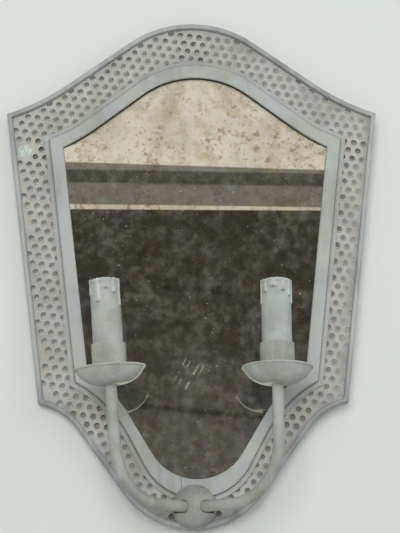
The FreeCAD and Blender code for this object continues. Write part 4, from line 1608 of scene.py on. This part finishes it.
@dataclass
class MirrorFinishes:
    """Every finish of the mirror, by the record's material slot."""

    effects: Effects
    made: dict[str, bpy.types.Material] = field(default_factory=dict)

    def finishes(self) -> dict[str, Finish]:
        """Choose the finish of each material slot.

        Returns:
            The finishes by slot.
        """
        return {
            "rim_paint": RimPaint(
                "rim_chalk", shade(164, 168, 165), shade(134, 137, 137), shade(178, 183, 186), chips=0.16,
                patch_scale=16.0, wax=shade(74, 72, 72), wax_and_shade_share=0.95, corner_reach=0.006, edge_share=0.35),
            "sheet_paint": ChalkPaint(
                "sheet_chalk", shade(174, 173, 165), shade(158, 157, 149), shade(184, 188, 187),
                drag=(1.0, 1.0, 0.5), drag_share=0.4, chips=0.13, patch_scale=30.0, corner_reach=0.003,
                wax_and_shade_share=0.6, edge_share=0.6, edge_width=0.0004),
            "moulding_paint": MouldingPaint(
                "moulding_chalk", shade(168, 172, 164), shade(150, 154, 146), shade(166, 172, 181),
                drag_share=0.6, chips=0.10, corner_reach=0.006, wax=shade(78, 74, 68), wax_and_shade_share=0.95),
            "strap_paint": ChalkPaint(
                "strap_primer", shade(166, 163, 153), shade(132, 128, 120), shade(146, 143, 136), chips=0.12,
                patch_scale=60.0, edge_share=0.3, wax=shade(110, 104, 94), wax_and_shade_share=0.5),
            "boss_paint": ChalkPaint(
                "boss_chalk", shade(155, 159, 151), shade(130, 134, 127), shade(166, 172, 168), chips=0.12,
                patch_scale=40.0),
            "arm_paint": CandlePaint(
                "arm_chalk", shade(158, 163, 152), shade(138, 143, 133), shade(170, 177, 173), chips=0.10,
                patch_scale=34.0, drag_share=0.6),
            "dish_paint": DishPaint(
                "dish_chalk", shade(168, 172, 165), shade(148, 152, 145), shade(176, 181, 180), chips=0.10,
                patch_scale=40.0, edge_share=0.9, edge_width=0.0009, edge_colour=shade(224, 226, 216)),
            "cup_paint": CandlePaint(
                "cup_chalk", shade(165, 169, 159), shade(143, 147, 138), shade(174, 180, 175), chips=0.12,
                patch_scale=50.0),
            "sleeve_card": WaxedSleeve(
                "sleeve_chalk", shade(168, 174, 164), shade(150, 155, 150), shade(172, 181, 188), chips=0.09,
                edge_colour=shade(228, 229, 220), edge_share=0.6, corner_reach=0.002, wax_and_shade_share=0.5,
                patch_scale=45.0),
            "filler": ChalkPaint(
                "filler_chalk", shade(192, 203, 196), shade(166, 176, 168), shade(178, 182, 176), chips=0.16,
                patch_scale=160.0),
            "mirror_glass": AntiqueMirror(),
            "fibreboard": Hardboard(),
            "bare_steel": PlainMetal("dull_steel", (0.40, 0.40, 0.39), (0.16, 0.14, 0.12), 0.42),
            "brass": PlainMetal("turned_brass", (0.62, 0.48, 0.22), (0.26, 0.18, 0.09), 0.3),
            "fibre": Moulded("pressed_fibre", shade(158, 154, 144), roughness=0.6),
            "rubber": Moulded("black_rubber", shade(34, 34, 34), roughness=0.7),
            "splice_plastic": Moulded("pale_nylon", shade(214, 208, 192), roughness=0.45),
            "lead_insulation": Moulded("lead_sheath", shade(40, 40, 42), roughness=0.5),
            "holder_plastic": Moulded("brown_resin", shade(62, 50, 42), roughness=0.4),
        }

    def dress(self, frame: dict) -> None:
        """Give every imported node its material.
        """
        for slot, finish in self.finishes().items():
            self.made[slot] = finish.build(self.effects)
        slots = {entry["node"]: entry["material_slot"] for entry in frame["record"]["subparts"]}
        slots["keyhole_plate"] = "sheet_paint"
        for name, node in frame["nodes"].items():
            material = self.made[slots[name]]
            if not node.material_slots:
                node.data.materials.append(material)
            for slot in node.material_slots:
                slot.material = material
            LOG.info("%s: %s", name, material.name)


LEFT_RUNS = (
    WaxRun(-160.0, 14.0, 9.0, 0.8), WaxRun(-118.0, 20.0, 8.0, 0.75), WaxRun(-84.0, 9.0, 11.0, 0.6),
    WaxRun(-52.0, 13.0, 8.0, 0.8), WaxRun(-20.0, 24.0, 8.0, 0.7), WaxRun(40.0, 15.0, 10.0, 0.8),
    WaxRun(95.0, 22.0, 9.0, 0.8), WaxRun(150.0, 11.0, 11.0, 0.7))
RIGHT_RUNS = (
    WaxRun(-170.0, 22.0, 9.0, 0.8), WaxRun(-138.0, 12.0, 8.0, 0.8), WaxRun(-104.0, 8.0, 12.0, 0.6),
    WaxRun(-66.0, 11.0, 9.0, 0.7), WaxRun(-34.0, 15.0, 8.0, 0.8), WaxRun(-6.0, 21.0, 8.0, 0.85),
    WaxRun(60.0, 14.0, 10.0, 0.7), WaxRun(120.0, 24.0, 9.0, 0.8))


def main() -> None:
    """Load the frame, dress it, add the finer pieces and set the scene."""
    logging.basicConfig(level=logging.INFO, format="%(name)s %(message)s")
    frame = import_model()
    finishes = MirrorFinishes(Effects())
    finishes.dress(frame)
    left, right = ArmTop(Side.LEFT, lean=5.3), ArmTop(Side.RIGHT, lean=0.0)
    for top, runs in ((left, LEFT_RUNS), (right, RIGHT_RUNS)):
        LOG.info("sleeve: %s", CandleSleeve(top, runs).build(finishes.made["sleeve_card"]).name)
    for top in (left, right):
        LOG.info("thread: %s", SocketThread(top).build(finishes.made["brass"]).name)
    sheet = frame["nodes"]["perforated_panel"]
    PunchedEdges(sheet).build(finishes.made["sheet_paint"])
    LOG.info("patch: %s", FilledPatch().build(sheet, finishes.made["filler"]).name)
    Surroundings().build()
    Viewpoint().build()
    bpy.context.scene.view_settings.view_transform = "Standard"


if __name__ == "__main__":
    main()
